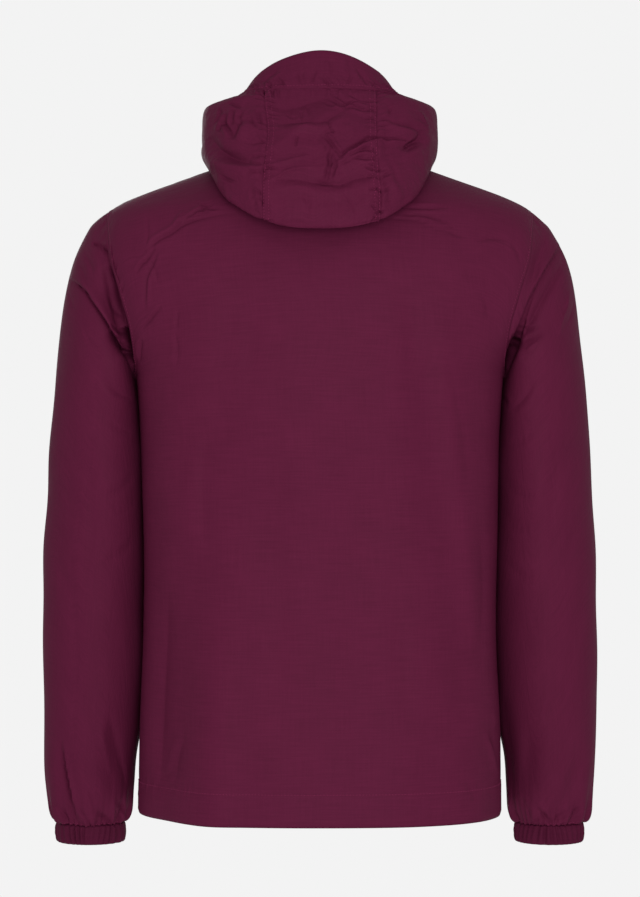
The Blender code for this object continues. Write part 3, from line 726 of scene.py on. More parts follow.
def makeBack():
    # arcs from armhole to armhole at every level, with folds, swells, creases, the hem's band and the seams
    level = torsoRows()[:, None]
    across = steps(*torso["across"])
    grid = softened(torsoPoint(level, armholeTurn(level, 1) * across, 1), across)
    edge = np.minimum(arcs(grid, 1), arcs(grid[:, ::-1], 1)[:, ::-1])
    inside = ease(edge, 0, 0.02)
    grid = grid + (longFolds(grid, backFolds, 1) - grid) * inside[..., None]
    normals = normalsOf(grid)
    # there is next to no unevenness over the shoulders
    swell = undulation(grid, *torso["backSwell"]) + undulation(grid * torso["fineRun"], *torso["fineSwell"])
    grid = raised(grid, normals, swell * inside * (1 - 0.85 * ease(grid[..., 2], -0.10, -0.045)))
    grid = creased(grid, normals, backCreases, torso["backDepth"])
    grid = hemmed(grid, normals)
    grid = puckered(grid, normals, "low", torso["hemPucker"], torso["hemBand"], 11)
    for side, drop, pucker, seed in torso["backSeams"]:
        grid = rolled(grid, normals, side, drop)
        grid = puckered(grid, normals, side, pucker, torso["puckerHold"], seed)
    # the body's edge stands a little over the sleeves, most of all above the armpit on the left
    x, z = grid[..., 0], grid[..., 2]
    lift = ease(-z, 0.11, 0.15) * ease(z, -0.25, -0.20) * np.where(x > 0, 1, 0.2)
    grid = raised(grid, normals, torso["overSleeve"] * lift * np.exp(-(edge / 0.007) ** 2))
    grid = rolled(grid, normals, "high")
    normals = normalsOf(grid)
    sew(grid, normals, "low", (torso["hemBand"],))
    for side in ("start", "end"):
        sew(grid, normals, side, (torso["seamStitch"],), holePart(level[:, 0]))
    clothPiece("back", grid, shellPaint)


def makeFront(side):
    # arcs from the zip and the neck out to the side and the armhole
    level = torsoRows("frontSide", "frontRows")
    low, high = holePart(level)
    start = frontStart(level)[:, None]
    level = level[:, None]
    across = steps(*torso["frontAcross"])
    turn = start + (armholeTurn(level, -1) - start) * across
    grid = softened(torsoPoint(level, turn, -1), across, ease(across, 0.05, 0.5))
    if side < 0:
        grid = otherSide(grid)
    grid = longFolds(grid, frontFolds, -1)
    normals = normalsOf(grid)
    grid = raised(grid, normals, undulation(grid, *torso["frontSwell"]) * ease(1 - across, 0, 0.08))
    grid = creased(grid, normals, frontCreases, torso["frontDepth"])
    grid = hemmed(grid, normals)
    grid = puckered(grid, normals, "low", torso["hemPucker"], torso["hemBand"], 21)
    inner, outer = ("start", "end") if side > 0 else ("end", "start")
    grid = rolled(grid, normals, inner, 0.0006, 0.002)
    grid = puckered(grid, normals, inner, torso["zipPucker"], torso["puckerHold"], 22 + side)
    grid = puckered(grid, normals, outer, torso["sidePucker"], torso["puckerHold"], 25 + side)
    grid = rolled(grid, normals, outer, 0.0003)
    normals = normalsOf(grid)
    sew(grid, normals, "low", (torso["hemBand"],))
    sew(grid, normals, inner, (torso["zipStitch"],))
    sew(grid, normals, outer, (torso["seamStitch"],), (low, 1.0))
    share = np.linspace(0, 1, len(grid))
    beside = ease(share, low - 0.03, low) * (1 - ease(share, high, high + 0.08))
    grid = underlapped(grid, normals, outer, keep=1 - 0.95 * beside)
    clothPiece("front_" + sideName(side), grid, shellPaint)


# sleeves and cuffs

sleeve = {
    # outer x and z, inner x and z, middle front to back, half depth
    "rings": np.array((
        (0.2368, -0.0678, 0.1925, -0.2395, 0.0005, 0.0725), (0.2462, -0.0792, 0.1918, -0.2460, 0.001, 0.072),
        (0.2616, -0.1100, 0.1882, -0.2680, -0.004, 0.075), (0.2718, -0.1545, 0.1862, -0.3000, -0.010, 0.075),
        (0.2798, -0.2195, 0.1855, -0.3421, -0.015, 0.073), (0.2858, -0.2899, 0.1854, -0.3855, -0.019, 0.071),
        (0.2916, -0.3604, 0.1855, -0.4359, -0.024, 0.068), (0.2954, -0.4410, 0.1857, -0.4913, -0.028, 0.065),
        (0.2962, -0.5213, 0.1872, -0.5465, -0.031, 0.063), (0.2961, -0.5865, 0.1910, -0.5995, -0.034, 0.060),
        (0.2951, -0.6314, 0.1965, -0.6364, -0.036, 0.057), (0.2931, -0.6663, 0.1989, -0.6683, -0.038, 0.053),
        (0.2895, -0.6913, 0.2025, -0.6923, -0.040, 0.047),
        (0.2829, -0.7081, 0.2092, -0.7085, -0.041, 0.0395))),
    "rows": (0, 84, 0.20, 78, 0.88, 36, 1), "around": (0, 40, 1.6, 60, 2.6, 12, math.pi, 42, 2 * math.pi),
    "coarse": 400,                  # steps along the sleeve when its length is measured
    "depth": 1.3, "frontFolds": 0.35,       # multiplies the creases' depths, and the long folds in front
    "swell": (0.09, 0.0008),        # size and height of the soft unevenness
    "capPucker": (0.0005, 0.010, 0.017), "capHold": 0.004, "wristStitch": 0.002,
    # above the cuff: height and reach of the gathers, the slower waves and the puffs over the cuff's top
    "gathers": 34, "gather": (0.0013, 0.022), "blouse": (0.0007, 0.05), "puff": (0.0038, 0.008),
    "cloth": (0.575, 0.63, 0.223),
}
sleeveFolds = ((0.275, -0.125, 0.205, -0.215, 0.011, 0.006), (0.262, -0.085, 0.228, -0.150, 0.012, 0.004),
               (0.285, -0.300, 0.235, -0.345, 0.014, 0.004), (0.274, -0.620, 0.262, -0.705, 0.010, 0.006),
               (0.222, -0.600, 0.212, -0.690, 0.010, 0.005))
sleeveCreases = {
    "left": (
        # pockets beside the armhole
        (4.0, 2.2, -0.4, 238, -94, 229, -97, 219, -107),
        (6.0, 4.5, 0.0, 223, -98, 220, -110, 217, -122, 214, -134),
        (15.0, 6.0, 0.0, 217, -118, 213, -134, 211, -147, 208, -160, 204, -174, 200, -190),
        (6.0, 9.0, 0.0, 224, -120, 220, -140, 216, -160, 210, -180, 204, -196),
        (2.4, 1.8, 0.5, 218, -152, 214, -163, 208, -172),
        (3.6, 2.2, 0.6, 216, -178, 210, -185, 202, -190),
        (38.0, 3.0, 0.0, 203, -182, 200, -191, 197, -200, 195, -208, 191, -219),
        (6.0, 3.2, 0.3, 212, -192, 206, -197, 200, -204, 194, -212),
        # the long fold from the cap down to the armpit
        (5.0, 6.5, -1.0, 266, -128, 253, -137, 244, -145, 238, -154, 229, -167, 220, -181, 213, -194,
         207, -203, 200, -209, 189, -215),
        (2.6, 1.7, 0.0, 260, -131, 252, -138, 244, -145, 238, -154, 229, -167, 220, -181, 213, -194,
         207, -203, 200, -209, 190, -215),
        (12.0, 3.2, 0.0, 218, -186, 212, -197, 206, -204, 200, -210, 187, -217),
        # where it goes in behind the body
        (14.0, 5.0, 0.0, 195, -209, 190, -226, 187, -244, 185, -268, 184, -304),
        (1.6, 2.6, 0.4, 247, -103, 241, -113, 235, -126),
        (1.5, 2.6, 0.4, 252, -116, 246, -127, 239, -141),
        (1.0, 2.6, 0.4, 266, -142, 261, -152, 258, -164),
        (1.3, 3.4, 0.3, 246, -186, 238, -198, 226, -212),
        (1.6, 4.0, 0.4, 226, -236, 210, -250, 196, -256),
        (1.2, 3.2, 0.4, 232, -268, 214, -284, 197, -292),
        # inside of the elbow
        (1.5, 3.4, 0.5, 196, -338, 208, -350, 224, -356),
        (1.2, 3.0, -0.5, 194, -366, 205, -372, 220, -370),
        (1.4, 3.2, 0.5, 195, -404, 209, -418, 226, -424),
        (1.0, 3.0, 0.4, 274, -352, 262, -366, 250, -372),
        (1.1, 3.4, -0.4, 276, -430, 266, -446, 256, -452),
        (1.4, 7.0, 0.3, 244, -300, 238, -380, 243, -450),
        (1.4, 7.0, -0.3, 262, -440, 256, -520, 258, -590),
        # down to the cuff
        (5.0, 3.4, -0.9, 273, -618, 269, -644, 265, -665, 262, -684, 259, -706),
        (2.4, 5.0, 0.4, 222, -586, 218, -610, 213, -632, 208, -657, 204, -682),
        (-1.4, 4.5, 0.0, 230, -600, 226, -626, 221, -652),
        (2.8, 2.0, 0.5, 253, -690, 247, -700, 242, -710),
        (2.6, 2.0, 0.5, 236, -692, 229, -700, 222, -708),
        (2.2, 1.9, 0.4, 279, -686, 273, -698, 267, -707),
        (2.8, 2.2, 0.5, 214, -682, 209, -696, 206, -707),
        (1.6, 2.0, -0.4, 203, -680, 208, -688, 214, -694),
        (1.2, 2.4, 0.4, 244, -668, 240, -680, 238, -692)),
    "right": (
        # the body's cloth folds over the sleeve along this edge
        (5.5, 7.0, 1.0, -260, -86, -254, -95, -249, -102, -240, -115, -232, -128, -226, -139, -218, -153,
         -213, -165, -209, -176, -204, -187, -197, -197, -191, -205),
        (10.0, 11.0, 0.0, -264, -102, -252, -119, -243, -135, -234, -150, -226, -165, -218, -180, -211, -192,
         -203, -206),
        # the gap where it ends above the armpit
        (5.0, 2.6, 0.0, -213, -174, -209, -184, -205, -193, -201, -202),
        (9.0, 1.8, 0.0, -209, -187, -206, -194, -202, -203),
        (46.0, 2.7, 0.0, -206, -194, -201, -204, -197, -213, -193, -222, -190, -233),
        (2.2, 1.8, -0.5, -205, -183, -217, -184, -229, -183),
        (-1.8, 1.9, 0.0, -233, -193, -223, -199, -214, -205),
        (1.6, 2.0, 0.4, -228, -190, -219, -193, -211, -197),
        (-2.4, 2.2, 0.0, -262, -142, -259, -158, -254, -170, -250, -183, -250, -192),
        (1.6, 2.8, 0.4, -268, -152, -264, -166, -257, -180),
        (0.9, 1.4, 0.0, -234, -88, -235, -98, -235, -110),
        (1.8, 1.8, -0.5, -186, -248, -192, -254, -196, -262),
        (10.0, 5.0, 0.0, -191, -220, -188, -240, -186, -262, -185, -290, -185, -320),
        (1.4, 3.6, -0.4, -224, -238, -212, -256, -200, -268),
        (1.2, 3.2, -0.4, -234, -280, -216, -296, -198, -304),
        (1.5, 3.2, -0.5, -195, -346, -210, -356, -225, -358),
        (1.2, 3.0, 0.5, -194, -384, -206, -392, -219, -391),
        (1.3, 3.2, -0.5, -196, -428, -210, -440, -224, -444),
        (1.0, 3.0, -0.4, -276, -330, -264, -346, -254, -352),
        (1.1, 3.2, 0.4, -277, -412, -268, -424, -258, -428),
        (1.4, 7.0, -0.3, -248, -310, -242, -390, -246, -460),
        (1.2, 3.2, 0.4, -246, -566, -241, -578, -236, -592),
        (2.6, 6.5, -0.3, -194, -570, -201, -628, -208, -680),
        (-1.4, 1.8, 0.0, -211, -673, -218, -683, -223, -692),
        (1.6, 2.0, -0.4, -214, -678, -220, -688, -224, -700),
        (3.0, 2.2, -0.5, -230, -688, -238, -697, -245, -707),
        (2.2, 2.6, 0.5, -245, -707, -253, -700, -260, -694, -268, -689),
        (2.8, 2.0, -0.4, -204, -692, -210, -701, -216, -710),
        (2.4, 2.0, 0.4, -263, -708, -269, -698, -275, -690),
        (1.8, 2.0, 0.4, -226, -708, -232, -699, -238, -694)),
    # both fronts, x counted outwards
    "front": (
        (4.0, 4.0, 0.3, 222, -104, 214, -124, 207, -150, 200, -172),
        (4.5, 4.5, 0.3, 204, -166, 197, -192, 192, -220),
        (3.4, 3.4, 0.6, 261, -150, 247, -164, 232, -180, 214, -204, 198, -222),
        (2.2, 3.0, 0.5, 256, -118, 244, -132, 230, -144),
        (1.4, 3.0, 0.4, 266, -178, 256, -196, 240, -212),
        (1.8, 3.4, 0.5, 242, -226, 222, -244, 198, -254),
        (1.6, 3.2, 0.5, 196, -322, 212, -338, 232, -344),
        (1.4, 3.0, -0.5, 195, -352, 214, -362, 240, -360),
        (1.8, 3.2, 0.5, 196, -384, 216, -402, 244, -408),
        (1.3, 3.0, 0.4, 278, -372, 262, -390, 244, -394),
        (1.5, 7.0, 0.3, 236, -430, 232, -500, 238, -580),
        (1.4, 6.0, -0.3, 270, -460, 264, -540, 262, -610),
        (3.2, 3.0, -0.5, 226, -630, 230, -660, 233, -686, 236, -706),
        (2.4, 2.4, 0.5, 262, -664, 258, -684, 254, -706),
        (2.4, 2.0, 0.5, 276, -684, 270, -698, 265, -708),
        (2.2, 2.0, 0.4, 212, -684, 217, -698, 222, -709))}


def sleevePoint(turn, side):
    # each ring is an ellipse from its outer point round the back to its inner point and round the front
    level = holeMiddle + holeHalf * np.cos(turn)
    behind = (np.sin(turn) >= -1e-9)[:, None]
    rings = [np.where(behind, torsoPoint(level, side * armholeTurn(level, 1), 1) * (side, 1, 1),
                      torsoPoint(level, armholeTurn(level, -1), -1))]
    for xOut, zOut, xIn, zIn, middle, half in sleeve["rings"]:
        x = (xOut + xIn) / 2 + (xOut - xIn) / 2 * np.cos(turn)
        z = (zOut + zIn) / 2 + (zOut - zIn) / 2 * np.cos(turn)
        rings.append(np.stack((x, middle + half * np.sin(turn), z), -1))
    knots = np.arange(len(rings))
    coarse = np.linspace(0, knots[-1], sleeve["coarse"])
    run = arcs(smoothRead(knots, rings, coarse), 0).mean(1)
    return smoothRead(knots, rings, np.interp(steps(*sleeve["rows"]) * run[-1], run, coarse))


def gatherWave(turn, seed):
    # uneven pleats round a wrist
    dice = np.random.default_rng(seed)
    a, b, c = dice.uniform(0, 2 * math.pi, 3)
    wave = np.sin(sleeve["gathers"] * turn + 1.3 * np.sin(3 * turn + a) + 0.8 * np.sin(7 * turn + b))
    return wave * (0.72 + 0.28 * np.sin(5 * turn + c))


def wristSwell(turn, left, side):
    # gathers, slower waves, and uneven puffs of cloth that hang over the cuff's top; left is what is left
    # of the sleeve below each point
    gather, blouse, puff = (sleeve[key] for key in ("gather", "blouse", "puff"))
    swell = gatherWave(turn, 31 + side) * gather[0] * np.exp(-(left / gather[1]) ** 1.3)
    swell = swell + blouse[0] * np.sin(9 * turn + 2 * np.sin(2 * turn)) * np.exp(-(left / blouse[1]) ** 2)
    lobes = np.clip(np.sin(10 * turn + 2.5 * np.sin(2 * turn + side)), -0.5, 1)
    return swell + lobes * puff[0] * left / puff[1] * np.exp(1 - left / puff[1])


def makeSleeve(side):
    # the rings with folds, swells and creases, then the wrist's gathers and the seams
    name = sideName(side)
    mirror = (side, 1, 1)
    turn = steps(*sleeve["around"])[:-1]
    grid = sleevePoint(turn, side) * mirror
    for face, share in ((1, 1.0), (-1, sleeve["frontFolds"])):
        part = share * np.clip(face * np.sin(turn), 0, 1)[None]
        grid = grid + part[..., None] * (longFolds(grid * mirror, sleeveFolds, face) * mirror - grid)
    normals = -side * normalsOf(grid, closed=True)
    down = arcs(grid, 0)
    grid = raised(grid, normals, undulation(grid, *sleeve["swell"], 7 + side) * ease(down, 0, 0.02))
    seam = ease(down, 0.0005, 0.0045)
    behind, before = (ease(face * np.sin(turn), 0.05, 0.42)[None] * seam for face in (1, -1))
    # the pockets are deep, so they sink straight in from behind and from the front
    inward = unit(normals + np.sign(np.sin(turn) + 1e-9)[:, None] * (0, 4, 0))
    grid = creased(grid, inward, sleeveCreases[name], sleeve["depth"] * behind)
    grid = creased(grid * mirror, inward * mirror, sleeveCreases["front"], sleeve["depth"] * before) * mirror
    grid = raised(grid, normals, wristSwell(turn, down[-1] - down, side))
    grid = puckered(grid, normals, "low", sleeve["capPucker"], sleeve["capHold"], 41 + side)
    grid = rolled(grid, normals, "low", 0.0003, 0.003)
    grid = rolled(grid, normals, "high", 0.0008, 0.002)
    normals = -side * normalsOf(grid, closed=True)
    sew(grid, normals, "high", (sleeve["wristStitch"],))
    grid = underlapped(grid, normals, "low", reach=0.006, drop=0.0010)
    grid = grid[:, ::-1] if side > 0 else grid
    clothPiece("sleeve_" + name, grid, shellPaint, closed=True)


cuff = {
    "depth": 0.020, "below": 0.0004, "rows": 17, "columns": 5,      # columns to a gather
    "pleat": 0.0012, "deepPleat": 0.0012, "lean": 0.11, "bulge": 0.0012, "drawnIn": 0.0010,
    "wall": 0.0016, "cloth": (0.31, 0.025, None),
}


def makeCuff(side):
    # a short tube from the sleeve's last ring down, in leaning pleats, a few of them deeper
    name = sideName(side)
    xOut, _, xIn, zIn, middle, half = sleeve["rings"][-1]
    turn = np.linspace(0, 2 * math.pi, cuff["columns"] * sleeve["gathers"] + 1)[:-1]
    down = np.linspace(0, 1, cuff["rows"])[:, None]
    pleat = gatherWave(turn + cuff["lean"] * down * np.sin(3 * turn + 2 * side), 31 + side)
    pleat = pleat - 1.1 * np.clip(-pleat - 0.3, 0, 1)
    depth = cuff["pleat"] + cuff["deepPleat"] * ease(np.sin(5 * turn + 1.5 * side), 0.1, 0.9)
    out = pleat * depth * (0.35 + 0.65 * np.sin(math.pi * down) ** 0.6)
    out = out + cuff["bulge"] * np.sin(math.pi * down) ** 0.5 - cuff["drawnIn"]
    x = (xOut + xIn) / 2 + ((xOut - xIn) / 2 + out) * np.cos(turn)
    z = zIn - cuff["below"] - cuff["depth"] * down + 0 * turn
    grid = np.stack((x, middle + (half + out) * np.sin(turn), z), -1)
    normals = -normalsOf(grid, closed=True)
    grid = underlapped(grid, normals, "low", reach=0.004, drop=0.0014)
    grid = grid[:, ::-1] if side > 0 else grid * (-1, 1, 1)
    clothPiece("cuff_" + name, grid, cuffShadedPaint,
               cuff["wall"], True)


# hood

hood = {
    # half width, back, front, squareness, then heights at the back, quarter, side, cheek and front
    "rails": np.array((
        (0.0865, 0.092, 0.113, 2.0, 0.1020, 0.0840, 0.0330, 0.0180, 0.0100),
        (0.0970, 0.103, 0.113, 2.4, 0.0615, 0.0610, 0.0410, -0.0040, -0.0280),
        (0.1200, 0.114, 0.112, 2.5, 0.0380, 0.0490, 0.0505, -0.0080, -0.0340),
        (0.1245, 0.133, 0.111, 2.7, 0.0060, 0.0180, 0.0270, -0.0150, -0.0400),
        (0.1230, 0.150, 0.110, 2.7, -0.0450, -0.0240, 0.0000, -0.0220, -0.0460),
        (0.1155, 0.150, 0.109, 3.0, -0.0850, -0.0570, -0.0085, -0.0280, -0.0520),
        (0.1030, 0.131, 0.108, 2.7, -0.0700, -0.0400, 0.0010, -0.0320, -0.0580),
        (0.0930, 0.105, 0.106, 2.1, -0.0100, 0.0020, 0.0120, -0.0340, -0.0630),
        (0.0870, 0.084, 0.103, 2.0, 0.0200, 0.0220, 0.0210, -0.0320, -0.0680))),
    "frontSquareness": 3.0, "panelSeam": 0.058,
    "neckLevels": (0, -0.0112, -0.0224, -0.0336, -0.0448, -0.056, -0.0603, -0.0729),
    # rows from the brim's seam over the fold to the neck; columns from the panel seam round to the zip
    "rows": (1, 214, 5.4, 34, 9), "brimRows": (0, 34, 1), "centreColumns": (-4, 104, 4),
    "sideColumns": (4, 62, 8.5, 30, 15),
    # size, height and seed of the soft unevenness; the finest, the crumpling, comes and goes
    "swell": ((0.07, 0.0014, 17), (0.026, 0.0005, 18)), "crumple": (0.011, 0.00032, 20),
    "comesAndGoes": (0.06, 1.5, 21), "brimSwell": (0.06, 0.0007, 19),
    "backDepth": 2.2, "frontDepth": 2.0, "brimDepth": 1.8,      # what the creases' depths are multiplied by
    "pucker": (0.0012, 0.007, 0.0095), "puckerHold": 0.005,
    "zipStitch": (0.006,), "brimStitch": (0.0035,), "seamStitches": (0.002, 0.0075),
    "seamWander": 0.004, "brimTurning": 0.0019,
    "brimCloth": (0.70, 0.046, 0.0182),
    # columns, cloth, seams with their seeds, stitched edges with their distances, edges with a turning
    "panels": {
        "hood_centre": ("centre", (0.13, 0.35, 0.0413), {"start": 61, "end": 62, "low": 67},
                        {"start": "seamStitches", "end": "seamStitches"}, ("low", "high")),
        "hood_side_left": ("left", (0.39, 0.25, 0.0495), {"start": 63, "low": 64}, {"end": "zipStitch"},
                           ("start", "low", "high")),
        "hood_side_right": ("right", (0.39, 0.25, 0.0495), {"end": 65, "low": 66}, {"start": "zipStitch"},
                            ("end", "low", "high")),
    },
}
hoodCreases = {
    "back": (
        # centre panel: the broad slanting ridge, and the crumple at its top right
        (-1.8, 9.0, 0.0, 55, -6, 22, 15, -6, 28, -27, 39),
        (2.0, 9.0, 0.0, 54, 43, 32, 41, 10, 47, -14, 53),
        (1.6, 4.0, 0.6, 46, 22, 20, 24, 0, 23, -14, 30, -25, 37),
        (1.5, 2.2, 0.6, -23, 37, -32, 41, -45, 37, -59, 35),
        (1.3, 1.9, 0.6, -7, 52, -15, 46, -22, 42, -32, 45, -43, 41, -59, 36),
        (1.2, 1.8, 0.5, -12, 55, -20, 50, -28, 46, -36, 48, -47, 45, -59, 41),
        (1.1, 1.8, 0.5, -29, 55, -40, 50, -52, 48, -61, 48),
        (0.8, 1.5, 0.4, -4, 48, -9, 43, -15, 41),
        # the small crumple in the middle
        (1.4, 1.4, 0.5, -7, 25, -10, 18, -14, 12),
        (1.0, 1.6, -0.4, 2, 1, -1, 7, -6, 12, -14, 14),
        (1.9, 1.8, -0.6, -3, 10, -9, 4, -14, -3, -21, -11),
        (0.8, 1.4, 0.4, -1, 5, -5, -1, -5, -8),
        # the long curved crease and the ones below it
        (2.7, 2.2, 0.8, -19, -14, -27, -6, -35, -2, -43, 3, -51, 6, -60, 8),
        (1.6, 1.5, 0.5, -44, 8, -61, 8, -76, 8, -92, 7),
        (1.5, 2.0, 0.7, -27, -12, -38, -7, -47, -5, -58, -6),
        (1.1, 1.8, 0.6, -22, -20, -36, -14, -47, -15, -58, -13),
        (-1.0, 1.8, 0.0, -8, -27, -17, -19, -27, -16, -38, -16),
        # the pocket where the folds end
        (2.4, 2.6, 0.5, -13, -4, -10, -12, -10, -21, -8, -30, -5, -40),
        (1.5, 1.8, -0.4, -13, -13, -16, -20, -14, -27, -11, -36),
        (1.2, 2.0, 0.4, 3, -37, -4, -40, -14, -40),
        (-1.0, 1.9, 0.0, 56, -20, 40, -19, 24, -15, 10, -12),
        (-1.1, 1.9, 0.0, 56, -35, 44, -34, 34, -28, 20, -25, 2, -24),
        (2.0, 5.5, 0.6, 54, -36, 30, -36, 10, -38, -6, -41, -23, -40, -35, -35, -47, -32, -58, -34),
        (1.1, 1.5, -0.4, 23, 9, 24, 4, 25, -3),
        (0.9, 1.4, 0.3, 13, 43, 12, 38, 11, 31),
        (0.8, 1.4, 0.3, 20, 37, 19, 31, 19, 26),
        (0.8, 1.5, 0.3, 35, 34, 30, 30, 24, 29),
        # across the right-hand seam
        (1.3, 1.7, 0.4, -44, -23, -54, -26, -63, -27),
        (1.0, 1.6, 0.4, -46, -34, -52, -32, -60, -36),
        (1.2, 1.7, 0.4, -46, -47, -54, -46, -60, -50),
        (1.5, 1.7, 0.5, -48, -62, -53, -66, -60, -71),
        (1.2, 1.6, -0.4, -50, -74, -55, -70, -62, -70),
        (-0.8, 2.6, 0.0, -20, -50, -28, -62, -34, -76),
        (0.8, 3.0, 0.3, 18, -50, 12, -62, 14, -78),
        # left panel
        (2.2, 1.8, 0.5, 97, 36, 100, 28, 105, 18),
        (2.4, 1.8, 0.5, 100, 29, 96, 21, 92, 12),
        (1.9, 1.6, 0.4, 90, 40, 91, 31, 93, 22),
        (1.9, 1.6, 0.4, 81, 38, 84, 30, 81, 21),
        (2.6, 1.9, 0.5, 66, 38, 66, 31, 64, 23),
        (1.5, 1.4, 0.4, 73, 31, 71, 25, 68, 20),
        (1.4, 1.4, 0.4, 104, 44, 103, 36, 108, 28),
        (1.2, 1.8, 0.4, 95, 49, 88, 45, 81, 41),
        (2.4, 4.5, -0.7, 85, 28, 88, 18, 92, 8),
        (3.4, 6.5, 0.5, 114, 14, 107, 0, 97, -8, 85, -14, 70, -19),
        (-1.7, 5.5, 0.0, 110, -12, 96, -18, 78, -23, 60, -27),
        (1.2, 1.8, 0.4, 101, -29, 95, -34, 86, -37),
        (1.3, 1.9, 0.4, 63, -39, 61, -52, 58, -64),
        (1.0, 1.8, 0.4, 70, -45, 67, -56, 65, -67),
        (1.2, 1.7, 0.4, 57, -12, 64, -11, 73, -12),
        (1.2, 1.7, -0.4, 57, -18, 65, -20, 76, -17),
        (1.0, 1.6, 0.4, 57, -26, 66, -28, 74, -26),
        (0.9, 1.6, 0.3, 58, 2, 66, 3, 73, 1),
        # right panel
        (1.3, 2.4, 0.6, -63, 30, -81, 24, -96, 21, -106, 15),
        (3.0, 4.5, -0.4, -105, 19, -102, 9, -93, 2, -83, -4),
        (1.3, 1.6, 0.4, -101, 9, -93, 4, -88, -1),
        (1.1, 1.5, 0.4, -100, 3, -94, -1, -88, -6),
        (-1.3, 1.6, 0.0, -102, 40, -107, 31, -113, 20),
        (-1.0, 1.5, 0.0, -100, 29, -107, 24, -113, 17),
        (1.3, 1.6, 0.4, -72, 42, -71, 37, -70, 31),
        (-1.3, 5.0, 0.0, -66, -32, -76, -44, -82, -56),
        (1.4, 5.0, 0.4, -70, 20, -68, 2, -64, -16),
        (1.2, 2.2, 0.4, -62, -38, -66, -50, -66, -64),
        (0.9, 1.9, 0.4, -68, -14, -74, -28, -75, -40)),
    "front": (
        (2.2, 3.0, 0.6, 118, 30, 108, 8, 92, -14, 70, -30),
        (1.8, 2.6, 0.5, 116, 4, 98, -18, 76, -36, 50, -48),
        (1.4, 2.4, -0.5, 82, 18, 68, 0, 50, -14, 30, -24),
        (1.2, 2.2, 0.4, 100, 36, 86, 22, 70, 14),
        (1.2, 2.0, 0.4, 12, -34, 26, -38, 40, -36),
        (-1.3, 3.0, 0.0, 110, 18, 92, -4, 66, -22),
        (2.2, 3.0, -0.6, -116, 26, -104, 4, -88, -16, -64, -34),
        (1.7, 2.6, -0.5, -118, 10, -102, -14, -80, -32, -54, -44),
        (1.4, 2.4, 0.5, -84, 14, -66, -4, -46, -18, -26, -22),
        (1.1, 2.0, -0.4, -96, 38, -84, 26, -68, 16),
        (1.2, 2.0, 0.4, -12, -44, -28, -46, -44, -42),
        (-1.2, 3.0, 0.0, -108, 20, -90, 0, -68, -18))}
brimCreases = (
    (1.1, 1.7, 0.5, 9, 66, 7, 73, 4, 80),
    (1.1, 1.7, 0.5, 19, 65, 22, 71, 25, 78),
    (0.8, 1.5, 0.4, 15, 66, 18, 73, 17, 79),
    (1.1, 1.7, 0.5, 36, 64, 40, 69, 44, 74),
    (1.1, 2.6, 0.5, 60, 69, 51, 77, 42, 84),
    (1.0, 1.7, 0.5, 53, 65, 46, 66, 38, 68),
    (0.7, 1.6, 0.4, 50, 74, 46, 78, 40, 80),
    (1.1, 2.2, 0.5, -41, 80, -45, 74, -48, 66),
    (1.0, 1.8, 0.4, -33, 76, -31, 71, -28, 66),
    (1.0, 2.0, 0.4, -37, 84, -41, 78, -42, 70),
    (0.8, 1.6, 0.4, -58, 71, -56, 67, -53, 64),
    (0.9, 2.6, 0.4, -10, 92, -12, 84, -10, 76),
    (0.8, 3.0, 0.4, -28, 96, -30, 88, -26, 80),
    (0.7, 1.6, 0.4, -14, 70, -16, 66, -22, 64))


def railLine(rail, column):
    # superellipse from the middle of the back, column 0, by the panel seam, 4, and the side, 8, to the
    # zip, 15; its five heights stand an eighth of a circle apart
    halfWidth, back, front, square = rail[:4]
    bendBack, bendFront = 2 / square, 2 / hood["frontSquareness"]
    seam = math.asin((hood["panelSeam"] / halfWidth) ** (1 / bendBack))
    end = math.pi - math.asin((torso["frontGap"] / halfWidth) ** (1 / bendFront))
    turn = np.interp(column, (0, 4, 8, 15), (0, seam, math.pi / 2, end))
    heights = np.concatenate((rail[5:6], rail[4:], rail[7:8]))
    z = smoothRead(np.arange(-1, 6) * math.pi / 4, heights, turn, limit=True)
    behind = np.cos(turn) > 0
    bend, reach = np.where(behind, bendBack, bendFront), np.where(behind, back, front)
    x, y = halfWidth * signedPower(np.sin(turn), bend), reach * signedPower(np.cos(turn), bend)
    return np.stack((x, y, z), -1)


def neckLine(column):
    # round the back of the neck to the shoulder seam, column 8, then down the front's neck edge to the zip
    back = torsoPoint(np.zeros_like(column), np.clip(column, 0, 8) / 8 * math.pi / 2, 1)
    level = smoothRead(np.arange(8, 16), hood["neckLevels"], np.clip(column, 8, 15), limit=True)
    front = torsoPoint(level, frontStart(level), -1)
    return np.where((column <= 8)[:, None], back, front) + (0, 0, 0.0003)


def hoodGrid(rows, column):
    # smooth curves across the rails, from the opening's edge, row 0, over the fold to the neck, row 9
    lines = [railLine(rail, np.abs(column)) for rail in hood["rails"]] + [neckLine(np.abs(column))]
    grid = smoothRead(np.arange(len(lines)), lines, rows)
    return grid * np.stack((np.where(column < 0, -1, 1), np.ones_like(column), np.ones_like(column)), -1)


def hoodColumns(part):
    # closer together behind the shoulder than in front of it
    sides = steps(*hood["sideColumns"])
    return {"centre": steps(*hood["centreColumns"]), "left": sides, "right": -sides[::-1]}[part]


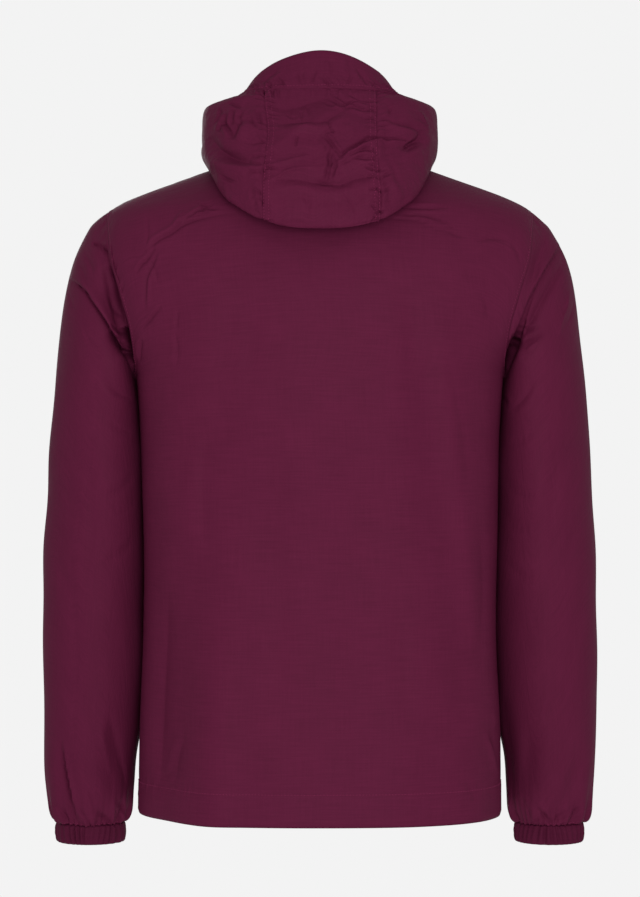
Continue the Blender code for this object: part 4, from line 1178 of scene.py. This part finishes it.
def makeHoodPanel(name, part, cloth, seams, stitched, turnings):
    # the bag's surface between two seams: its outer side is crumpled, and its inner side calm
    rows = steps(*hood["rows"])
    grid = hoodGrid(rows, hoodColumns(part))
    normals = normalsOf(grid)
    outer = 1 - ease(rows, 5.0, 5.6)[:, None]
    behind = ease(grid[..., 1], -0.02, 0.03)
    swell = sum(undulation(grid, *wave) for wave in hood["swell"])
    comesAndGoes = ease(undulation(grid, *hood["comesAndGoes"]), -0.4, 1)
    swell = swell + undulation(grid, *hood["crumple"]) * (0.25 + comesAndGoes)
    calm = 0.2 + 0.8 * ease(np.abs(normals[..., 1]), 0.1, 0.6)
    grid = raised(grid, normals, swell * calm * (0.3 + 0.7 * outer))
    grid = creased(grid, normals, hoodCreases["back"], hood["backDepth"] * outer * behind)
    grid = creased(grid, normals, hoodCreases["front"], hood["frontDepth"] * outer * (1 - behind))
    # the panel seams wander a few millimetres
    x, z = grid[..., 0], grid[..., 2]
    bend = (np.exp(-((x - hood["panelSeam"]) / 0.02) ** 2 - ((z - 0.012) / 0.03) ** 2)
            + np.exp(-((x + hood["panelSeam"]) / 0.02) ** 2) * ease(-z, -0.01, 0.06))
    grid = grid - np.array((hood["seamWander"], 0, 0)) * (bend * outer)[..., None]
    for side, seed in seams.items():
        grid = rolled(grid, normals, side)
        grid = puckered(grid, normals, side, hood["pucker"], hood["puckerHold"], seed)
    normals = normalsOf(grid)
    for side, distances in stitched.items():
        sew(grid, normals, side, hood[distances])
    for side in turnings:
        grid = underlapped(grid, normals, side)
        normals = normalsOf(grid)
    clothPiece(name, grid, hoodShadedPaint)


def makeBrim():
    # the casing round the opening, in one piece from zip to zip
    column = np.concatenate((hoodColumns("right")[:-1], hoodColumns("centre")[:-1], hoodColumns("left")))
    grid = hoodGrid(steps(*hood["brimRows"]), column)
    normals = normalsOf(grid)
    behind = ease(grid[..., 1], -0.02, 0.03)
    grid = raised(grid, normals, undulation(grid, *hood["brimSwell"]))
    grid = creased(grid, normals, brimCreases, hood["brimDepth"] * behind)
    grid = rolled(grid, normals, "low", 0.0012, 0.002)
    grid = rolled(grid, normals, "high")
    grid = puckered(grid, normals, "high", hood["pucker"], hood["puckerHold"], 51)
    normals = normalsOf(grid)
    sew(grid, normals, "high", hood["brimStitch"])
    for side in ("start", "end"):
        sew(grid, normals, side, hood["zipStitch"])
    # its turning crosses the panels' own one, so that the seam stays shut
    grid = underlapped(grid, normals, "high", hood["brimTurning"], hood["brimTurning"])
    clothPiece("hood_brim", grid, hoodShadedPaint)


# zip

zipper = {
    "top": hood["rails"][0][8] - 0.001, "foot": torso["hem"] + 0.001,
    "tapeInner": 0.0011, "tapeOuter": 0.0175, "tapeFace": -0.0018, "tapeThick": 0.001, "tapeRows": 181,
    "tapeCloth": (0.0164, 0.706, None),
    # across the tape: places as shares of its width, and how much of the cord's height it has there
    "across": (0.0, 0.05, 0.11, 0.17, 0.25, 0.5, 0.75, 1.0),
    "cordShape": (0.2, 0.9, 1.0, 0.5, 0.0, 0.0, 0.0, 0.0), "cord": 0.0005,
    "neckTurnings": 0.0018,         # what the neck seam holds the tape back by
    "slider": -0.002,               # height of the slider's middle
    "boxLength": 0.009, "pitch": 0.0025, "sunk": 0.0007,
    # one tooth from its tape side to its head: distance from the middle, half width, half thickness, in mm
    "tooth": np.array((
        (3.7, 0.50, 1.15), (2.4, 0.80, 1.30), (0.9, 0.42, 1.20), (-0.5, 0.78, 1.20), (-1.1, 0.52, 0.85))),
}


def zipRows():
    # the front's and the hood's rows beside the zip, bottom to top
    level = torsoRows()
    level = level[level < torso["neckFront"]]
    start = frontStart(level)[:, None]
    turn = start + (armholeTurn(level[:, None], -1) - start) * np.linspace(0, 0.12, 9)
    up = hoodGrid(np.linspace(9, 0, 61), np.linspace(15, 14.2, 9))
    return np.concatenate((torsoPoint(level[:, None], turn, -1), up))


def zipStrip(heights, distances, outward):
    # a strip at those heights and distances from the middle, raised from the cloth;
    # its columns run to the wearer's left
    rows = zipRows()
    edge = rows[:, 0]
    normal = unit(np.cross((1, 0, 0), np.gradient(edge, edge[:, 2], axis=0)))
    held = zipper["neckTurnings"] * np.exp(-((edge[:, 2] - torso["neckFront"]) / 0.008) ** 2)
    columns = []
    for distance in distances:
        line = readRows(distance, rows[..., 0], rows)
        line[:, 0] = distance
        columns.append(readLine(heights, edge[:, 2], line + normal * (outward - held)[:, None]))
    return np.stack(columns, 1)


def makeTape(side):
    # the woven cord of the tape's edge stands up a little beside the teeth
    heights = np.linspace(zipper["foot"], zipper["top"], zipper["tapeRows"])
    width = zipper["tapeOuter"] - zipper["tapeInner"]
    grid = zipStrip(heights, zipper["tapeInner"] + width * np.array(zipper["across"]), zipper["tapeFace"])
    grid = raised(grid, normalsOf(grid), zipper["cord"] * np.array(zipper["cordShape"]))
    if side < 0:
        grid = otherSide(grid)
    name = sideName(side)
    clothPiece("zip_tape_" + name, grid, tapeFinish,
               wall=zipper["tapeThick"])


def makeTeeth():
    # moulded teeth from the box up to the slider, the two sides half a pitch apart; each tooth is a row of
    # four-cornered rings from one end to the other, towards the wearer's left
    corner = np.array(((1, 1), (-1, 1), (-1, -1), (1, -1)))
    sideways = np.array((1.0, 0, 0))
    reach, width, thickness = (zipper["tooth"][None, :, None, k:k + 1] * mm for k in range(3))
    heights = np.arange(zipper["foot"] + zipper["boxLength"], zipper["slider"] - 0.002, zipper["pitch"])
    points = []
    for side in (1, -1):
        middle = zipStrip(heights + (zipper["pitch"] / 2 if side < 0 else 0), (0.0,), -zipper["sunk"])[:, 0]
        along = unit(np.gradient(middle, axis=0))
        outward = np.cross(sideways, along)
        middle, along, outward = (each[:, None, None] for each in (middle, along, outward))
        ring = along * width * corner[:, :1] + outward * thickness * corner[:, 1:]
        points.append((ring + middle + sideways * side * reach)[:, ::-side])
    made = ringSolids("zip_teeth", np.concatenate(points), teethFinish)
    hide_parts("zip_chain")
    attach(made, "jacket")


metalParts = {
    # body, how much its edges are rounded
    "zip_slider": ("jacket", 0.00028), "zip_pull": ("pull_tab", 0.00036), "zip_box": ("jacket", 0.00040),
    "zip_stop_left": ("jacket", 0.00035), "zip_stop_right": ("jacket", 0.00035),
}


def makeMetalPart(name, body, rounding):
    # the frame's own shape with its sharp edges rounded
    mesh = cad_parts[name].data.copy()
    work = bmesh.new()
    work.from_mesh(mesh)
    bmesh.ops.remove_doubles(work, verts=work.verts, dist=0.00002)
    bmesh.ops.dissolve_limit(work, angle_limit=math.radians(2), verts=work.verts, edges=work.edges)
    work.to_mesh(mesh)
    work.free()
    mesh.shade_smooth()
    mesh.materials.clear()
    mesh.materials.append(metalFinish)
    made = linked("cast_" + name, mesh)
    bevel = made.modifiers.new("rounding", "BEVEL")
    bevel.width, bevel.segments, bevel.harden_normals = rounding, 3, True
    bevel.limit_method, bevel.angle_limit = "ANGLE", math.radians(35)
    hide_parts(name)
    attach(made, body)


print("jacket: cutting the body")
makeBack()
makeFront(1)
makeFront(-1)
print("jacket: setting in the sleeves")
for side in (1, -1):
    makeSleeve(side)
    makeCuff(side)
print("jacket: sewing the hood")
for name, panel in hood["panels"].items():
    makeHoodPanel(name, *panel)
makeBrim()
stitches("seamStitches", sewn)
print("jacket: putting in the zip")
makeTape(1)
makeTape(-1)
makeTeeth()
for name, (body, rounding) in metalParts.items():
    makeMetalPart(name, body, rounding)


# floor, light and camera

studio = {
    "floor": -1.20, "floorReach": 2.2, "floorDark": (0.86, 0.86, 0.86), "floorLight": (0.88, 0.88, 0.88),
    "background": 0.896, "ambient": 0.62, "aim": (0, 0, -0.35),
    # place, size and power; the fill is for the front, out of the camera's sight
    "lights": {"key": ((-0.11, 1.9, -0.14), 0.9, 13.8), "fill": ((0.45, -2.1, 0.15), 1.2, 9.0)},
    # the view's height at the jacket sets the lens
    "distance": 3.0, "eye": -0.308, "sensor": 24.0, "viewHeight": 0.951,
}


def makeFloor():
    corners = np.array(((-1, -1, 0), (1, -1, 0), (1, 1, 0), (-1, 1, 0)))
    points = corners * studio["floorReach"] + (0, 0, studio["floor"])
    paint = Paint("paleFloor", Roughness=0.9, Specular_IOR_Level=0.1)
    cloud = paint.noise(paint.inSpace(), 3.0)
    paint.shade(Base_Color=paint.mix(cloud, studio["floorDark"], studio["floorLight"]))
    meshFrom("floor", points, np.array(((0, 1, 2, 3),)), paint.material)


def makeLight(name, place, size, power):
    # a disk turned to face the jacket's middle
    light = bpy.data.lights.new(name, "AREA")
    light.shape, light.size, light.energy = "DISK", size, power
    made = linked(name, light)
    made.location, made.visible_camera = place, False
    away = np.array(place) - studio["aim"]
    flat = math.hypot(away[0], away[1])
    made.rotation_euler = (math.atan2(flat, away[2]), 0, math.atan2(away[0], -away[1]))


def makeWorld():
    world = bpy.data.worlds.new("studio")
    bpy.context.scene.world = world
    world.use_nodes = True
    nodes, links = world.node_tree.nodes, world.node_tree.links
    shade = nodes["Background"]
    shade.inputs["Color"].default_value = (studio["background"],) * 3 + (1.0,)
    # the jacket is lit by less than the background shows
    seen, level = nodes.new("ShaderNodeLightPath"), nodes.new("ShaderNodeMapRange")
    level.inputs["To Min"].default_value, level.inputs["To Max"].default_value = studio["ambient"], 1.0
    links.new(seen.outputs["Is Camera Ray"], level.inputs["Value"])
    links.new(level.outputs["Result"], shade.inputs["Strength"])


def makeCamera():
    lens = bpy.data.cameras.new("camera")
    lens.sensor_fit, lens.sensor_height = "VERTICAL", studio["sensor"]
    lens.lens = studio["sensor"] * studio["distance"] / studio["viewHeight"]
    made = linked("camera", lens)
    made.location = (0, studio["distance"], studio["eye"])
    made.rotation_euler = (math.pi / 2, 0, math.pi)
    bpy.context.scene.camera = made


print("jacket: floor, light and camera")
makeFloor()
for name, light in studio["lights"].items():
    makeLight(name, *light)
makeWorld()
makeCamera()
bpy.context.scene.view_settings.view_transform = "Standard"
